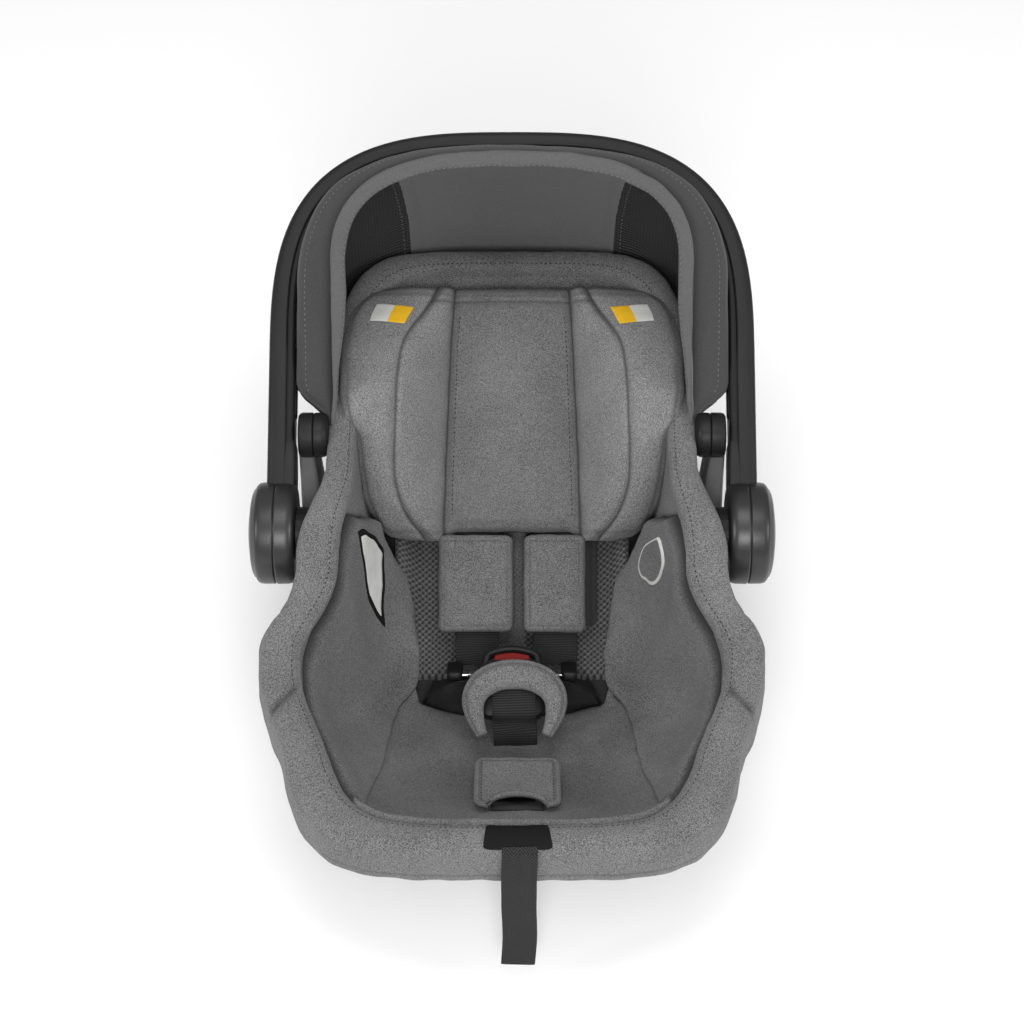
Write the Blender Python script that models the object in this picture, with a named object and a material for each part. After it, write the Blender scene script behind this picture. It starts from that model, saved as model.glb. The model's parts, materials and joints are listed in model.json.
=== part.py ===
"""Infant car seat with carry handle, folding canopy, sliding headrest and five-point harness.

Metres, +Z up. The foot end points to -Y and the head end to +Y. The seat stands on its two
runners at z = 0, and the origin is under the middle of its bounding box.
"""
import bpy
import bmesh
from math import asin, cos, pi, radians, sin, sqrt, tan
from mathutils import Vector

# ---- driving dimensions -------------------------------------------------------------------
GAP = 0.0003                     # clearance between touching pieces
EDGE = 0.001                     # rounding of small moulded and pressed pieces
ORIGIN_SHIFT = 0.038             # moves the whole seat so that its box is centred on the origin

# rim of the bucket: plan outline and height
FOOT_END = -0.325
HEAD_END = 0.222
FOOT_HALF_WIDTH = 0.182
THIGH_HALF_WIDTH = 0.200
HUB_HALF_WIDTH = 0.170
HEAD_HALF_WIDTH = 0.152
RIM_HEIGHTS = ((-0.325, 0.180), (-0.25, 0.187), (-0.17, 0.203), (-0.115, 0.226), (-0.075, 0.264),
               (-0.045, 0.271), (0.0, 0.278), (0.06, 0.284), (0.12, 0.293), (0.222, 0.304))
KEEL_HEIGHT = 0.018
SHELL_WALL = 0.0035
LINER_WALL = 0.010

# seating surface: back and pan meet in the crease
CREASE = Vector((0.0, -0.090, 0.075))
BACK_ANGLE = radians(39.0)
PAN_ANGLE = radians(20.0)
PAD_DROP = 0.017                 # liner surface below the padded surface
BACK_HALF_WIDTH = 0.080

# carry handle
HUB_AXIS = Vector((0.0, -0.045, 0.235))
HANDLE_TILT = radians(58.0)
HANDLE_REACH = 0.3475
HANDLE_HALF_WIDTH = 0.205
HANDLE_STRAIGHT = 0.150
HANDLE_ROUNDING = 3.0            # superellipse exponent of its shoulders
HANDLE_FOOT = 0.0445
HANDLE_STEM = 0.070
HUB_RADIUS = 0.0427
HUB_INNER_FACE = 0.1803
HUB_SEAM = 0.1966
HUB_OUTER_FACE = 0.2195
BOLT_RADIUS = 0.0045

# canopy
CANOPY_AXIS = Vector((0.0, 0.0256, 0.280))
CANOPY_REACH = 0.2420
CANOPY_HALF_WIDTH = 0.170
CANOPY_STRAIGHT = 0.150
CANOPY_ROUNDING = 2.6            # superellipse exponent of its shoulders
CANOPY_WAIST = 0.0143            # how far the bows step in above their feet
CANOPY_LAYER = 0.0035            # step inwards from one canopy panel to the next
CANOPY_CLOTH = 0.0028
CANOPY_HUB_RADIUS = 0.019
CANOPY_HUB_SEAM = 0.1704
FRONT_BOW_ANGLE = radians(32.6)
MID_BOW_ANGLE = radians(54.0)
REAR_HEM_ANGLE = radians(76.0)
BOW_WIDTH = 0.011

# harness
WEB_WIDTH = 0.038
WEB_THICKNESS = 0.0016
TAIL_WIDTH = 0.028
BUCKLE = Vector((0.0, -0.122, 0.122))
BUCKLE_ANGLE = radians(25.0)
TAIL_SIDE = 0.005                # the free end hangs a little to the right

RING_STEPS = 56
SIDES = {"left": -1.0, "right": 1.0}


# ---- materials ----------------------------------------------------------------------------
def make_material(name, colour, roughness, metallic=0.0):
    material = bpy.data.materials.new(name)
    material.use_nodes = True
    shader = material.node_tree.nodes["Principled BSDF"]
    shader.inputs["Base Color"].default_value = (*colour, 1.0)
    shader.inputs["Roughness"].default_value = roughness
    shader.inputs["Metallic"].default_value = metallic
    return material


def make_materials():
    return {
        "charcoal_plastic": make_material("charcoal_plastic", (0.035, 0.035, 0.037), 0.42),
        "black_plastic": make_material("black_plastic", (0.015, 0.015, 0.016), 0.5),
        "grey_plastic": make_material("grey_plastic", (0.16, 0.16, 0.165), 0.45),
        "soft_grip": make_material("soft_grip", (0.02, 0.02, 0.021), 0.8),
        "foam": make_material("foam", (0.05, 0.05, 0.052), 0.9),
        "melange_fabric": make_material("melange_fabric", (0.12, 0.12, 0.122), 0.95),
        "canopy_fabric": make_material("canopy_fabric", (0.075, 0.075, 0.078), 0.9),
        "knit_mesh": make_material("knit_mesh", (0.08, 0.08, 0.082), 0.95),
        "webbing": make_material("webbing", (0.02, 0.02, 0.021), 0.75),
        "red_plastic": make_material("red_plastic", (0.45, 0.02, 0.015), 0.35),
        "steel": make_material("steel", (0.55, 0.55, 0.56), 0.3, 1.0),
    }


# ---- general helpers ----------------------------------------------------------------------
def smooth_step(value, low, high):
    t = min(max((value - low) / (high - low), 0.0), 1.0)
    return t * t * (3.0 - 2.0 * t)


def signed_power(value, exponent):
    return (1.0 if value >= 0.0 else -1.0) * abs(value) ** exponent


def clear_scene():
    for obj in list(bpy.data.objects):
        bpy.data.objects.remove(obj, do_unlink=True)


class Builder:
    """Adds closed meshes to the scene under one frame empty."""

    def __init__(self, materials):
        self.materials = materials
        self.frame = bpy.data.objects.new("seat_frame", None)
        self.frame.location = (0.0, ORIGIN_SHIFT, 0.0)
        bpy.context.collection.objects.link(self.frame)

    def add(self, name, verts, faces, material, origin=(0.0, 0.0, 0.0), sharp=35.0):
        origin = Vector(origin)
        mesh = bpy.data.meshes.new(name)
        work = bmesh.new()
        corners = [work.verts.new(Vector(v) - origin) for v in verts]
        for face in faces:
            work.faces.new([corners[i] for i in face])
        bmesh.ops.recalc_face_normals(work, faces=work.faces)
        work.to_mesh(mesh)
        work.free()
        mesh.shade_smooth()
        mesh.set_sharp_from_angle(angle=radians(sharp))
        obj = bpy.data.objects.new(name, mesh)
        obj.location = origin
        obj.parent = self.frame
        obj.data.materials.append(self.materials[material])
        bpy.context.collection.objects.link(obj)
        return obj

    def loft(self, name, loops, material, origin=(0.0, 0.0, 0.0), ring=False):
        """Closed loops joined in order: a ring joins the last to the first, or both ends are capped."""
        count = len(loops[0])
        verts = [p for loop in loops for p in loop]
        faces = []
        spans = len(loops) if ring else len(loops) - 1
        for k in range(spans):
            a = k * count
            b = ((k + 1) % len(loops)) * count
            for i in range(count):
                j = (i + 1) % count
                faces.append((a + i, a + j, b + j, b + i))
        if not ring:
            for k in (0, len(loops) - 1):
                centre = sum((Vector(p) for p in loops[k]), Vector()) / count
                verts.append(centre)
                tip = len(verts) - 1
                faces += [(k * count + i, k * count + (i + 1) % count, tip) for i in range(count)]
        return self.add(name, verts, faces, material, origin)

    def slab(self, name, top, bottom, material, origin=(0.0, 0.0, 0.0)):
        """Closed solid between two matching grids of points."""
        rows = len(top)
        columns = len(top[0])
        verts = [p for row in top for p in row] + [p for row in bottom for p in row]
        half = rows * columns
        faces = []
        for r in range(rows - 1):
            for c in range(columns - 1):
                first = r * columns + c
                quad = (first, first + 1, first + columns + 1, first + columns)
                faces.append(quad)
                faces.append(tuple(half + i for i in reversed(quad)))
        edge = [(0, c) for c in range(columns - 1)]
        edge += [(r, columns - 1) for r in range(rows - 1)]
        edge += [(rows - 1, c) for c in range(columns - 1, 0, -1)]
        edge += [(r, 0) for r in range(rows - 1, 0, -1)]
        for k, (r, c) in enumerate(edge):
            r2, c2 = edge[(k + 1) % len(edge)]
            a = r * columns + c
            b = r2 * columns + c2
            faces.append((b, a, half + a, half + b))
        return self.add(name, verts, faces, material, origin)

    def box(self, name, size, location, material, tilt=0.0, bevel=0.0, origin=None):
        """Box turned by tilt about X, with rounded edges."""
        hx, hy, hz = (s / 2.0 for s in size)
        centre = Vector(location)
        points = []
        for z in (-hz, hz):
            for x, y in ((-hx, -hy), (hx, -hy), (hx, hy), (-hx, hy)):
                turned = Vector((x, y * cos(tilt) - z * sin(tilt), y * sin(tilt) + z * cos(tilt)))
                points.append(centre + turned)
        faces = [(0, 1, 2, 3), (4, 5, 6, 7), (0, 1, 5, 4), (1, 2, 6, 5), (2, 3, 7, 6), (3, 0, 4, 7)]
        obj = self.add(name, points, faces, material, centre if origin is None else origin)
        if bevel:
            self.bevel(obj, bevel)
        return obj

    def bevel(self, obj, width, segments=2):
        modifier = obj.modifiers.new("edge_round", "BEVEL")
        modifier.width = width
        modifier.segments = segments
        modifier.limit_method = "ANGLE"
        modifier.angle_limit = radians(40.0)

    def extrude_x(self, name, outline, x_from, x_to, material, origin=(0.0, 0.0, 0.0), bevel=0.0):
        """Outline of (y, z) points extruded along X."""
        loops = [[(x, y, z) for y, z in outline] for x in (x_from, x_to)]
        count = len(outline)
        verts = loops[0] + loops[1]
        faces = [tuple(range(count)), tuple(range(count, 2 * count))]
        faces += [(i, (i + 1) % count, count + (i + 1) % count, count + i) for i in range(count)]
        obj = self.add(name, verts, faces, material, origin)
        if bevel:
            self.bevel(obj, bevel)
        return obj

    def turned(self, name, profile, centre, material, steps=32, bored=False, origin=None):
        """Profile of (x, radius) turned about the X line through centre."""
        loops = [[(x, centre.y + r * cos(2 * pi * i / steps), centre.z + r * sin(2 * pi * i / steps))
                  for i in range(steps)] for x, r in profile]
        return self.loft(name, loops, material, centre if origin is None else origin, ring=bored)

    def boolean(self, obj, helper, operation):
        helper.hide_render = True
        helper.display_type = "WIRE"
        modifier = obj.modifiers.new(operation.lower(), "BOOLEAN")
        modifier.object = helper
        modifier.operation = operation
        modifier.solver = "EXACT"


# ---- the bucket's surfaces ----------------------------------------------------------------
def rim_height(y):
    """Smooth height of the rim along the seat."""
    points = RIM_HEIGHTS
    if y <= points[0][0]:
        return points[0][1]
    for (y0, z0), (y1, z1) in zip(points, points[1:]):
        if y <= y1:
            return z0 + (z1 - z0) * (y - y0) / (y1 - y0)
    return points[-1][1]


def soft_rim_height(y):
    window = (-0.016, -0.008, 0.0, 0.008, 0.016)
    return sum(rim_height(y + step) for step in window) / len(window)


def half_width(y):
    width = FOOT_HALF_WIDTH
    width += (THIGH_HALF_WIDTH - FOOT_HALF_WIDTH) * smooth_step(y, -0.245, -0.165)
    width += (HUB_HALF_WIDTH - THIGH_HALF_WIDTH) * smooth_step(y, -0.155, -0.090)
    return width + (HEAD_HALF_WIDTH - HUB_HALF_WIDTH) * smooth_step(y, -0.085, -0.005)


def rim_plan(angle, grow=0.0, scale=1.0):
    """Plan point of the rim: angle 90 degrees is the head end; grow offsets it, scale shrinks it."""
    middle = (FOOT_END + HEAD_END) / 2.0
    length = (HEAD_END - FOOT_END) / 2.0 + grow
    exponent = 5.0 if sin(angle) < 0.0 else 5.5
    radius = (abs(cos(angle)) ** exponent + abs(sin(angle)) ** exponent) ** (-1.0 / exponent)
    y_full = middle + length * radius * sin(angle)
    x_full = (half_width(y_full) + grow) * radius * cos(angle)
    return x_full * scale, middle + (y_full - middle) * scale


def floor_height(y):
    """Padded seating surface on the centre line."""
    back = CREASE.z + (y - CREASE.y) * tan(BACK_ANGLE)
    pan = CREASE.z - (y - CREASE.y) * tan(PAN_ANGLE)
    blend = 0.022
    return 0.5 * (back + pan + sqrt((back - pan) ** 2 + blend ** 2)) - 0.5 * blend


def ring_angles():
    return [2.0 * pi * i / RING_STEPS for i in range(RING_STEPS)]


def outer_ring(turn, grow):
    """Loop of the bucket's outer skin: turn runs from 0 at the rim to 90 degrees at the keel."""
    loop = []
    for angle in ring_angles():
        power = 2.0 / (3.0 - 1.4 * smooth_step(-sin(angle), 0.2, 0.95))
        wide = cos(turn) ** power if turn < radians(89.9) else 0.0
        deep = sin(turn) ** power
        x_rim, y_rim = rim_plan(angle, grow)
        y_keel = -0.055 + 0.155 * signed_power(sin(angle), 1.4)
        keel_half = 0.045 * signed_power(cos(angle), 1.0)
        x = keel_half + (x_rim - keel_half) * wide
        y = y_keel + (y_rim - y_keel) * wide
        rocker = KEEL_HEIGHT + 0.9 * (y_keel + 0.02) ** 2 - grow
        z = soft_rim_height(y_rim) - (soft_rim_height(y_rim) - rocker) * deep
        loop.append((x, y, z))
    return loop


def cavity_ring(turn, grow, drop, top=0.0):
    """Loop of the seating cavity: wall from the rim (turn 0) to the floor (turn 90 degrees)."""
    power = 2.0 / 2.3
    floor_scale = 0.60
    wide = cos(turn) ** power if turn < radians(89.9) else 0.0
    deep = sin(turn) ** power
    loop = []
    for angle in ring_angles():
        scale = floor_scale + (1.0 - floor_scale) * wide
        x, y = rim_plan(angle, grow, scale)
        rim = soft_rim_height(rim_plan(angle, grow)[1]) + top
        floor = min(floor_height(y) - drop, rim - 0.004)
        loop.append((x, y, rim - (rim - floor) * deep))
    return loop


def floor_ring(scale, grow, drop):
    loop = []
    for angle in ring_angles():
        x, y = rim_plan(angle, grow, scale)
        loop.append((x, y, floor_height(y) - drop))
    return loop


def back_point(x, along, above):
    """Point on the backrest: along it from the crease, and above its padded surface."""
    return (x,
            CREASE.y + along * cos(BACK_ANGLE) - above * sin(BACK_ANGLE),
            CREASE.z + along * sin(BACK_ANGLE) + above * cos(BACK_ANGLE))


def pan_point(x, along, above):
    """Point on the seat pan: along it from the crease towards the foot end."""
    return (x,
            CREASE.y - along * cos(PAN_ANGLE) + above * sin(PAN_ANGLE),
            CREASE.z + along * sin(PAN_ANGLE) + above * cos(PAN_ANGLE))


# ---- bucket, liner and underside ----------------------------------------------------------
SHELL_TURNS = [radians(a) for a in (0, 12, 26, 42, 58, 74, 84, 90)]
LINER_TURNS = [radians(a) for a in (0, 14, 32, 52, 72, 90)]


def build_shell(b):
    outside = [outer_ring(turn, 0.0) for turn in SHELL_TURNS]
    inside = [outer_ring(turn, -SHELL_WALL) for turn in reversed(SHELL_TURNS)]
    loops = outside + [[(0.02 * x / 0.045, -0.055 + (y + 0.055) * 0.5, z) for x, y, z in outside[-1]]]
    loops_in = [[(0.02 * x / 0.045, -0.055 + (y + 0.055) * 0.5, z) for x, y, z in inside[0]]] + inside
    add_cup(b, "outer_shell", loops, loops_in, "charcoal_plastic")


def add_cup(b, name, outside, inside, material):
    """Cup from outer loops (rim to bottom) and inner loops (bottom to rim)."""
    count = RING_STEPS
    loops = outside + inside
    verts = [p for loop in loops for p in loop]
    faces = []
    for k in list(range(len(outside) - 1)) + list(range(len(outside), len(loops) - 1)):
        for i in range(count):
            j = (i + 1) % count
            faces.append((k * count + i, k * count + j, (k + 1) * count + j, (k + 1) * count + i))
    last = (len(loops) - 1) * count
    for i in range(count):
        j = (i + 1) % count
        faces.append((last + i, last + j, j, i))
    for k in (len(outside) - 1, len(outside)):
        centre = sum((Vector(p) for p in loops[k]), Vector()) / count
        verts.append(centre)
        faces += [(k * count + i, k * count + (i + 1) % count, len(verts) - 1) for i in range(count)]
    return b.add(name, verts, faces, material)


def build_liner(b):
    grow = -(SHELL_WALL + 0.0012)
    inner = grow - LINER_WALL
    outside = [cavity_ring(turn, grow, PAD_DROP + LINER_WALL, -0.002) for turn in LINER_TURNS]
    outside.append(floor_ring(0.34, grow, PAD_DROP + LINER_WALL))
    outside.append(floor_ring(0.12, grow, PAD_DROP + LINER_WALL))
    inside = [cavity_ring(turn, inner, PAD_DROP, -0.002) for turn in reversed(LINER_TURNS)]
    inside = [floor_ring(0.12, inner, PAD_DROP), floor_ring(0.34, inner, PAD_DROP)] + inside
    liner = add_cup(b, "foam_liner", outside, inside, "foam")
    slots = (("crotch_slot_cutter", (0.048, 0.016, 0.09), pan_point(0.0, 0.085, -0.02), -PAN_ANGLE),
             ("adjuster_slot_cutter", (0.046, 0.056, 0.09), pan_point(0.0, 0.135, -0.02), -PAN_ANGLE),
             ("strap_slot_left_cutter", (0.044, 0.100, 0.09), back_point(-0.036, 0.215, -0.02), BACK_ANGLE),
             ("strap_slot_right_cutter", (0.044, 0.100, 0.09), back_point(0.036, 0.215, -0.02), BACK_ANGLE))
    for name, size, place, tilt in slots:
        cutter = b.box(name, size, place, "foam", tilt)
        b.boolean(liner, cutter, "DIFFERENCE")


def build_runners(b):
    """Two moulded runners shaped to the bucket's underside, with the docking bars between them."""
    boat = [outer_ring(turn, 0.0006) for turn in SHELL_TURNS]
    lid = [(x, y, z + 0.05) for x, y, z in boat[0]]
    cutter = b.loft("runner_cutter", [lid] + boat, "black_plastic")
    outline = [(-0.225, 0.070), (-0.205, 0.034), (-0.150, 0.006), (-0.120, 0.0), (0.100, 0.0),
               (0.130, 0.006), (0.165, 0.034), (0.180, 0.070)]
    for side, sign in SIDES.items():
        runner = b.extrude_x("runner_" + side, outline, sign * 0.074, sign * 0.092, "black_plastic")
        b.boolean(runner, cutter, "DIFFERENCE")
    for name, y in (("front_latch_bar", -0.105), ("rear_latch_bar", 0.085)):
        ends = 0.074 - GAP
        b.turned(name, [(-ends, 0.004), (ends, 0.004)], Vector((0.0, y, 0.0115)), "steel", 16)


def build_rear_release(b):
    """Lever that frees the seat from its base, hung on the back of the bucket."""
    pivot = Vector((0.0, 0.2300, 0.172))
    bracket = [(0.2188, 0.150), (0.2220, 0.150), (0.2220, 0.180), (0.2210, 0.186), (0.2188, 0.186)]
    b.extrude_x("release_bracket", bracket, -0.062, 0.062, "black_plastic", bevel=0.0008)
    outline = [(0.2237, 0.176), (0.2237, 0.140), (0.2280, 0.126), (0.2355, 0.128), (0.2340, 0.140),
               (0.2327, 0.168), (0.2290, 0.1765)]
    b.extrude_x("release_lever", outline, -0.050, 0.050, "charcoal_plastic", pivot, bevel=0.0012)


# ---- hubs and handle ----------------------------------------------------------------------
def build_hub_fixtures(b):
    """Fixed boss, locking gear and pivot bolt on each side."""
    for side, sign in SIDES.items():
        bore = BOLT_RADIUS + GAP
        boss = [(sign * 0.1680, bore), (sign * 0.1680, 0.022), (sign * 0.1797, 0.022), (sign * 0.1797, bore)]
        b.turned("hub_boss_" + side, boss, HUB_AXIS, "black_plastic", 28, bored=True)
        b.add(*gear_mesh("lock_gear_" + side, sign, bore), "steel", HUB_AXIS)
        bolt = [(sign * 0.1700, BOLT_RADIUS), (sign * 0.1891, BOLT_RADIUS), (sign * 0.1891, 0.0085),
                (sign * 0.1940, 0.0085), (sign * 0.1950, 0.0070)]
        b.turned("pivot_bolt_" + side, bolt, HUB_AXIS, "steel", 12)


def gear_mesh(name, sign, bore):
    """Toothed ring: teeth outside, round bore inside."""
    teeth = 14
    steps = teeth * 4
    loops = []
    for x in (sign * 0.1800, sign * 0.1885):
        outer = []
        inner = []
        for i in range(steps):
            angle = 2.0 * pi * i / steps
            radius = 0.0158 if i % 4 in (0, 1) else 0.0136
            outer.append((x, HUB_AXIS.y + radius * cos(angle), HUB_AXIS.z + radius * sin(angle)))
            inner.append((x, HUB_AXIS.y + bore * cos(angle), HUB_AXIS.z + bore * sin(angle)))
        loops.append((outer, inner))
    (outer_a, inner_a), (outer_b, inner_b) = loops
    rings = [outer_a, outer_b, inner_b, inner_a]
    verts = [p for ring in rings for p in ring]
    faces = []
    for k in range(4):
        for i in range(steps):
            j = (i + 1) % steps
            n = (k + 1) % 4
            faces.append((k * steps + i, k * steps + j, n * steps + j, n * steps + i))
    return name, verts, faces


def bow_outline(width, reach, straight, exponent, foot, straight_steps, corner_steps):
    """(x, l) points of a bow from its left foot over the top to its right foot."""
    half = [(width, foot + (straight - foot) * i / straight_steps) for i in range(straight_steps)]
    for i in range(corner_steps + 1):
        angle = 0.5 * pi * i / corner_steps
        radius = (cos(angle) ** exponent + sin(angle) ** exponent) ** (-1.0 / exponent)
        half.append((width * radius * cos(angle), straight + (reach - straight) * radius * sin(angle)))
    right = half[:-1]
    return [(-x, l) for x, l in right] + [(0.0, half[-1][1])] + list(reversed(right))


def outline_normals(points):
    normals = []
    for i in range(len(points)):
        ahead = points[min(i + 1, len(points) - 1)]
        behind = points[max(i - 1, 0)]
        dx = ahead[0] - behind[0]
        dl = ahead[1] - behind[1]
        size = sqrt(dx * dx + dl * dl)
        normals.append((-dl / size, dx / size))
    return normals


def swing_point(axis, tilt, x, along, across):
    """Point in a plane that hangs on an X axis and leans back by tilt."""
    return (x,
            axis.y + along * sin(tilt) + across * cos(tilt),
            axis.z + along * cos(tilt) - across * sin(tilt))


def handle_section(depth_from, depth_to, width, chamfer):
    """Eight-sided section: (outward offset, across) pairs."""
    w = width / 2.0
    c = chamfer
    return [(-depth_from, -w + c), (-depth_from, w - c), (-depth_from - c, w), (-depth_to + c, w),
            (-depth_to, w - c), (-depth_to, -w + c), (-depth_to + c, -w), (-depth_from - c, -w)]


def handle_sweep(b, name, keep, depths, chamfer, material, width_trim=0.0):
    """Sweeps a section along the part of the handle that keep(l, x) selects."""
    outline = bow_outline(HANDLE_HALF_WIDTH, HANDLE_REACH, HANDLE_STRAIGHT, HANDLE_ROUNDING, HANDLE_FOOT,
                          5, 12)
    normals = outline_normals(outline)
    loops = []
    for (x, along), (nx, nl) in zip(outline, normals):
        if not keep(along, x):
            continue
        top = smooth_step(along, 0.10, 0.33)
        width = 0.034 - 0.004 * top - width_trim
        near, far = depths(top)
        loop = []
        for out, across in handle_section(near, far, width, chamfer):
            loop.append(swing_point(HUB_AXIS, HANDLE_TILT, x + nx * out, along + nl * out, across))
        loops.append(loop)
    return b.loft(name, loops, material, HUB_AXIS)


def build_handle(b):
    frame = handle_sweep(b, "handle_frame", lambda l, x: True,
                         lambda top: (0.0, 0.0165 - 0.002 * top), 0.003, "charcoal_plastic")
    for side, sign in SIDES.items():
        housing = hub_housing(b, side, sign)
        b.boolean(frame, housing, "UNION")
        bore = [(sign * 0.1790, 0.0166), (sign * 0.1890, 0.0166)]
        b.boolean(frame, b.turned("hub_bore_cutter_" + side, bore, HUB_AXIS, "steel", 28), "DIFFERENCE")
        bore = [(sign * 0.1860, 0.0105), (sign * 0.1990, 0.0105)]
        b.boolean(frame, b.turned("bolt_bore_cutter_" + side, bore, HUB_AXIS, "steel", 20), "DIFFERENCE")

    def cover_depths(top):
        return 0.0168 - 0.002 * top, 0.0225 - 0.0045 * top

    corner = 0.112
    for side, sign in SIDES.items():
        handle_sweep(b, "handle_cover_" + side, lambda l, x, s=sign: s * x > corner and l > HANDLE_STEM,
                     cover_depths, 0.0015, "black_plastic", 0.004)
    handle_sweep(b, "handle_grip", lambda l, x: abs(x) < corner - 0.004, cover_depths, 0.0015, "soft_grip",
                 0.002)


def hub_housing(b, side, sign):
    """Round inner half of the hub with the stem that enters the arm."""
    half_angle = asin(0.0135 / HUB_RADIUS)
    outline = []
    steps = 30
    for i in range(steps + 1):
        angle = half_angle + (2.0 * pi - 2.0 * half_angle) * i / steps
        outline.append((HUB_RADIUS * cos(angle), HUB_RADIUS * sin(angle)))
    outline += [(HANDLE_STEM, -0.0135), (HANDLE_STEM, 0.0135)]
    loops = [[swing_point(HUB_AXIS, HANDLE_TILT, x, along, across) for along, across in outline]
             for x in (sign * HUB_INNER_FACE, sign * (HUB_SEAM - GAP / 2.0))]
    count = len(outline)
    verts = loops[0] + loops[1]
    faces = [tuple(range(count)), tuple(range(count, 2 * count))]
    faces += [(i, (i + 1) % count, count + (i + 1) % count, count + i) for i in range(count)]
    return b.add("hub_housing_" + side, verts, faces, "charcoal_plastic", HUB_AXIS)


def build_hub_caps(b):
    """Outer cap of each hub with its release button and spring."""
    for side, sign in SIDES.items():
        inner = HUB_SEAM + GAP / 2.0
        profile = [(inner, 0.0425), (0.2085, 0.0425), (0.2150, 0.0405), (0.2185, 0.0360),
                   (HUB_OUTER_FACE, 0.0300), (HUB_OUTER_FACE, 0.0216), (0.2085, 0.0216), (0.2085, 0.0080),
                   (0.1990, 0.0080)]
        b.turned("hub_cap_" + side, [(sign * x, r) for x, r in profile], HUB_AXIS, "charcoal_plastic", 36)
        button = [(0.2150, 0.0210), (0.2192, 0.0210), (0.2200, 0.0200)]
        b.turned("handle_button_" + side, [(sign * x, r) for x, r in button], HUB_AXIS, "grey_plastic", 32)
        add_spring(b, "button_spring_" + side, sign)


def add_spring(b, name, sign):
    """Compression spring in the cap's pocket."""
    turns = 4
    steps = 12
    wire = 0.0005
    start = 0.1999
    pitch = (0.2078 - start) / turns
    coil = 0.0055
    loops = []
    for i in range(turns * steps + 1):
        angle = 2.0 * pi * i / steps
        radial = Vector((0.0, cos(angle), sin(angle)))
        centre = Vector((sign * (start + pitch * i / steps), HUB_AXIS.y, HUB_AXIS.z)) + radial * coil
        axial = Vector((1.0, 0.0, 0.0))
        loops.append([centre + radial * wire * cos(a) + axial * wire * sin(a)
                      for a in (2.0 * pi * k / 5 for k in range(5))])
    b.loft(name, loops, "steel", HUB_AXIS)


# ---- canopy -------------------------------------------------------------------------------
def build_canopy_fixtures(b):
    for side, sign in SIDES.items():
        axis = CANOPY_AXIS
        r = CANOPY_HUB_RADIUS
        outline = [(axis.y - 0.012, 0.196), (axis.y + 0.012, 0.196)]
        for i in range(13):
            angle = radians(-50.0 + 280.0 * i / 12)
            outline.append((axis.y + r * cos(angle), axis.z + r * sin(angle)))
        post = b.extrude_x("canopy_post_" + side, outline, sign * (CANOPY_HUB_SEAM + GAP), sign * 0.1799,
                           "grey_plastic")
        arm = b.box("post_arm_" + side, (0.0130, 0.080, 0.014), (sign * 0.1700, -0.005, 0.203),
                    "grey_plastic")
        b.boolean(post, arm, "UNION")
        b.bevel(post, 0.001)
        hub = [(0.1560, 0.0165), (0.1580, CANOPY_HUB_RADIUS), (CANOPY_HUB_SEAM, CANOPY_HUB_RADIUS)]
        b.turned("canopy_hub_" + side, [(sign * x, rr) for x, rr in hub], axis, "charcoal_plastic", 28)


def canopy_outline(layer, foot):
    step = layer * CANOPY_LAYER
    return bow_outline(CANOPY_HALF_WIDTH - step, CANOPY_REACH - step, CANOPY_STRAIGHT, CANOPY_ROUNDING,
                       foot, 4, 8)


def canopy_panel(b, name, layer, angle_from, angle_to, foot, columns=4):
    """Curved panel of canopy cloth between two angles about the canopy axis."""
    outline = canopy_outline(layer, foot)
    normals = outline_normals(outline)
    inner = [(x - nx * CANOPY_CLOTH, l - nl * CANOPY_CLOTH) for (x, l), (nx, nl) in zip(outline, normals)]
    top = []
    bottom = []
    for k in range(columns + 1):
        tilt = angle_from + (angle_to - angle_from) * k / columns
        top.append([swing_point(CANOPY_AXIS, tilt, x, l, 0.0) for x, l in outline])
        bottom.append([swing_point(CANOPY_AXIS, tilt, x, l, 0.0) for x, l in inner])
    b.slab(name, top, bottom, "canopy_fabric", CANOPY_AXIS)


def canopy_bow(b, name, layer, tilt, foot):
    """Flat plastic bow at the front edge of a panel, wider at its feet than above them."""
    step = layer * CANOPY_LAYER
    narrow = bow_outline(CANOPY_HALF_WIDTH - CANOPY_WAIST - step, CANOPY_REACH - step, CANOPY_STRAIGHT,
                         CANOPY_ROUNDING, foot, 6, 8)
    outline = []
    for x, l in narrow:
        flare = CANOPY_WAIST * (1.0 - smooth_step(l, 0.025, 0.075))
        outline.append((x + (flare if x > 0.0 else -flare), l))
    half = BOW_WIDTH / 2.0
    section = ((0.0, -half), (0.0, half), (CANOPY_CLOTH, half), (CANOPY_CLOTH, -half))
    loops = []
    for (x, l), (nx, nl) in zip(outline, outline_normals(outline)):
        loops.append([swing_point(CANOPY_AXIS, tilt, x - nx * deep, l - nl * deep, across)
                      for deep, across in section])
    b.loft(name, loops, "black_plastic", CANOPY_AXIS)


def build_canopy(b):
    foot = CANOPY_HUB_RADIUS + 0.0008
    canopy_bow(b, "canopy_front_bow", 0, FRONT_BOW_ANGLE, foot)
    canopy_bow(b, "canopy_mid_bow", 1, MID_BOW_ANGLE, foot)
    lead = radians(8.0)
    canopy_panel(b, "canopy_front_panel", 0, FRONT_BOW_ANGLE + lead, FRONT_BOW_ANGLE + radians(22.0), 0.060)
    canopy_panel(b, "canopy_mid_panel", 1, MID_BOW_ANGLE + lead, MID_BOW_ANGLE + radians(20.0), 0.060)
    canopy_panel(b, "canopy_rear_panel", 2, REAR_HEM_ANGLE, radians(98.0), 0.050)


# ---- headrest -----------------------------------------------------------------------------
HEADREST_FOOT = 0.132
HEADREST_TOP = 0.340


def headrest_half(along):
    return 0.112 + 0.030 * smooth_step(along, 0.25, 0.32)


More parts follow.
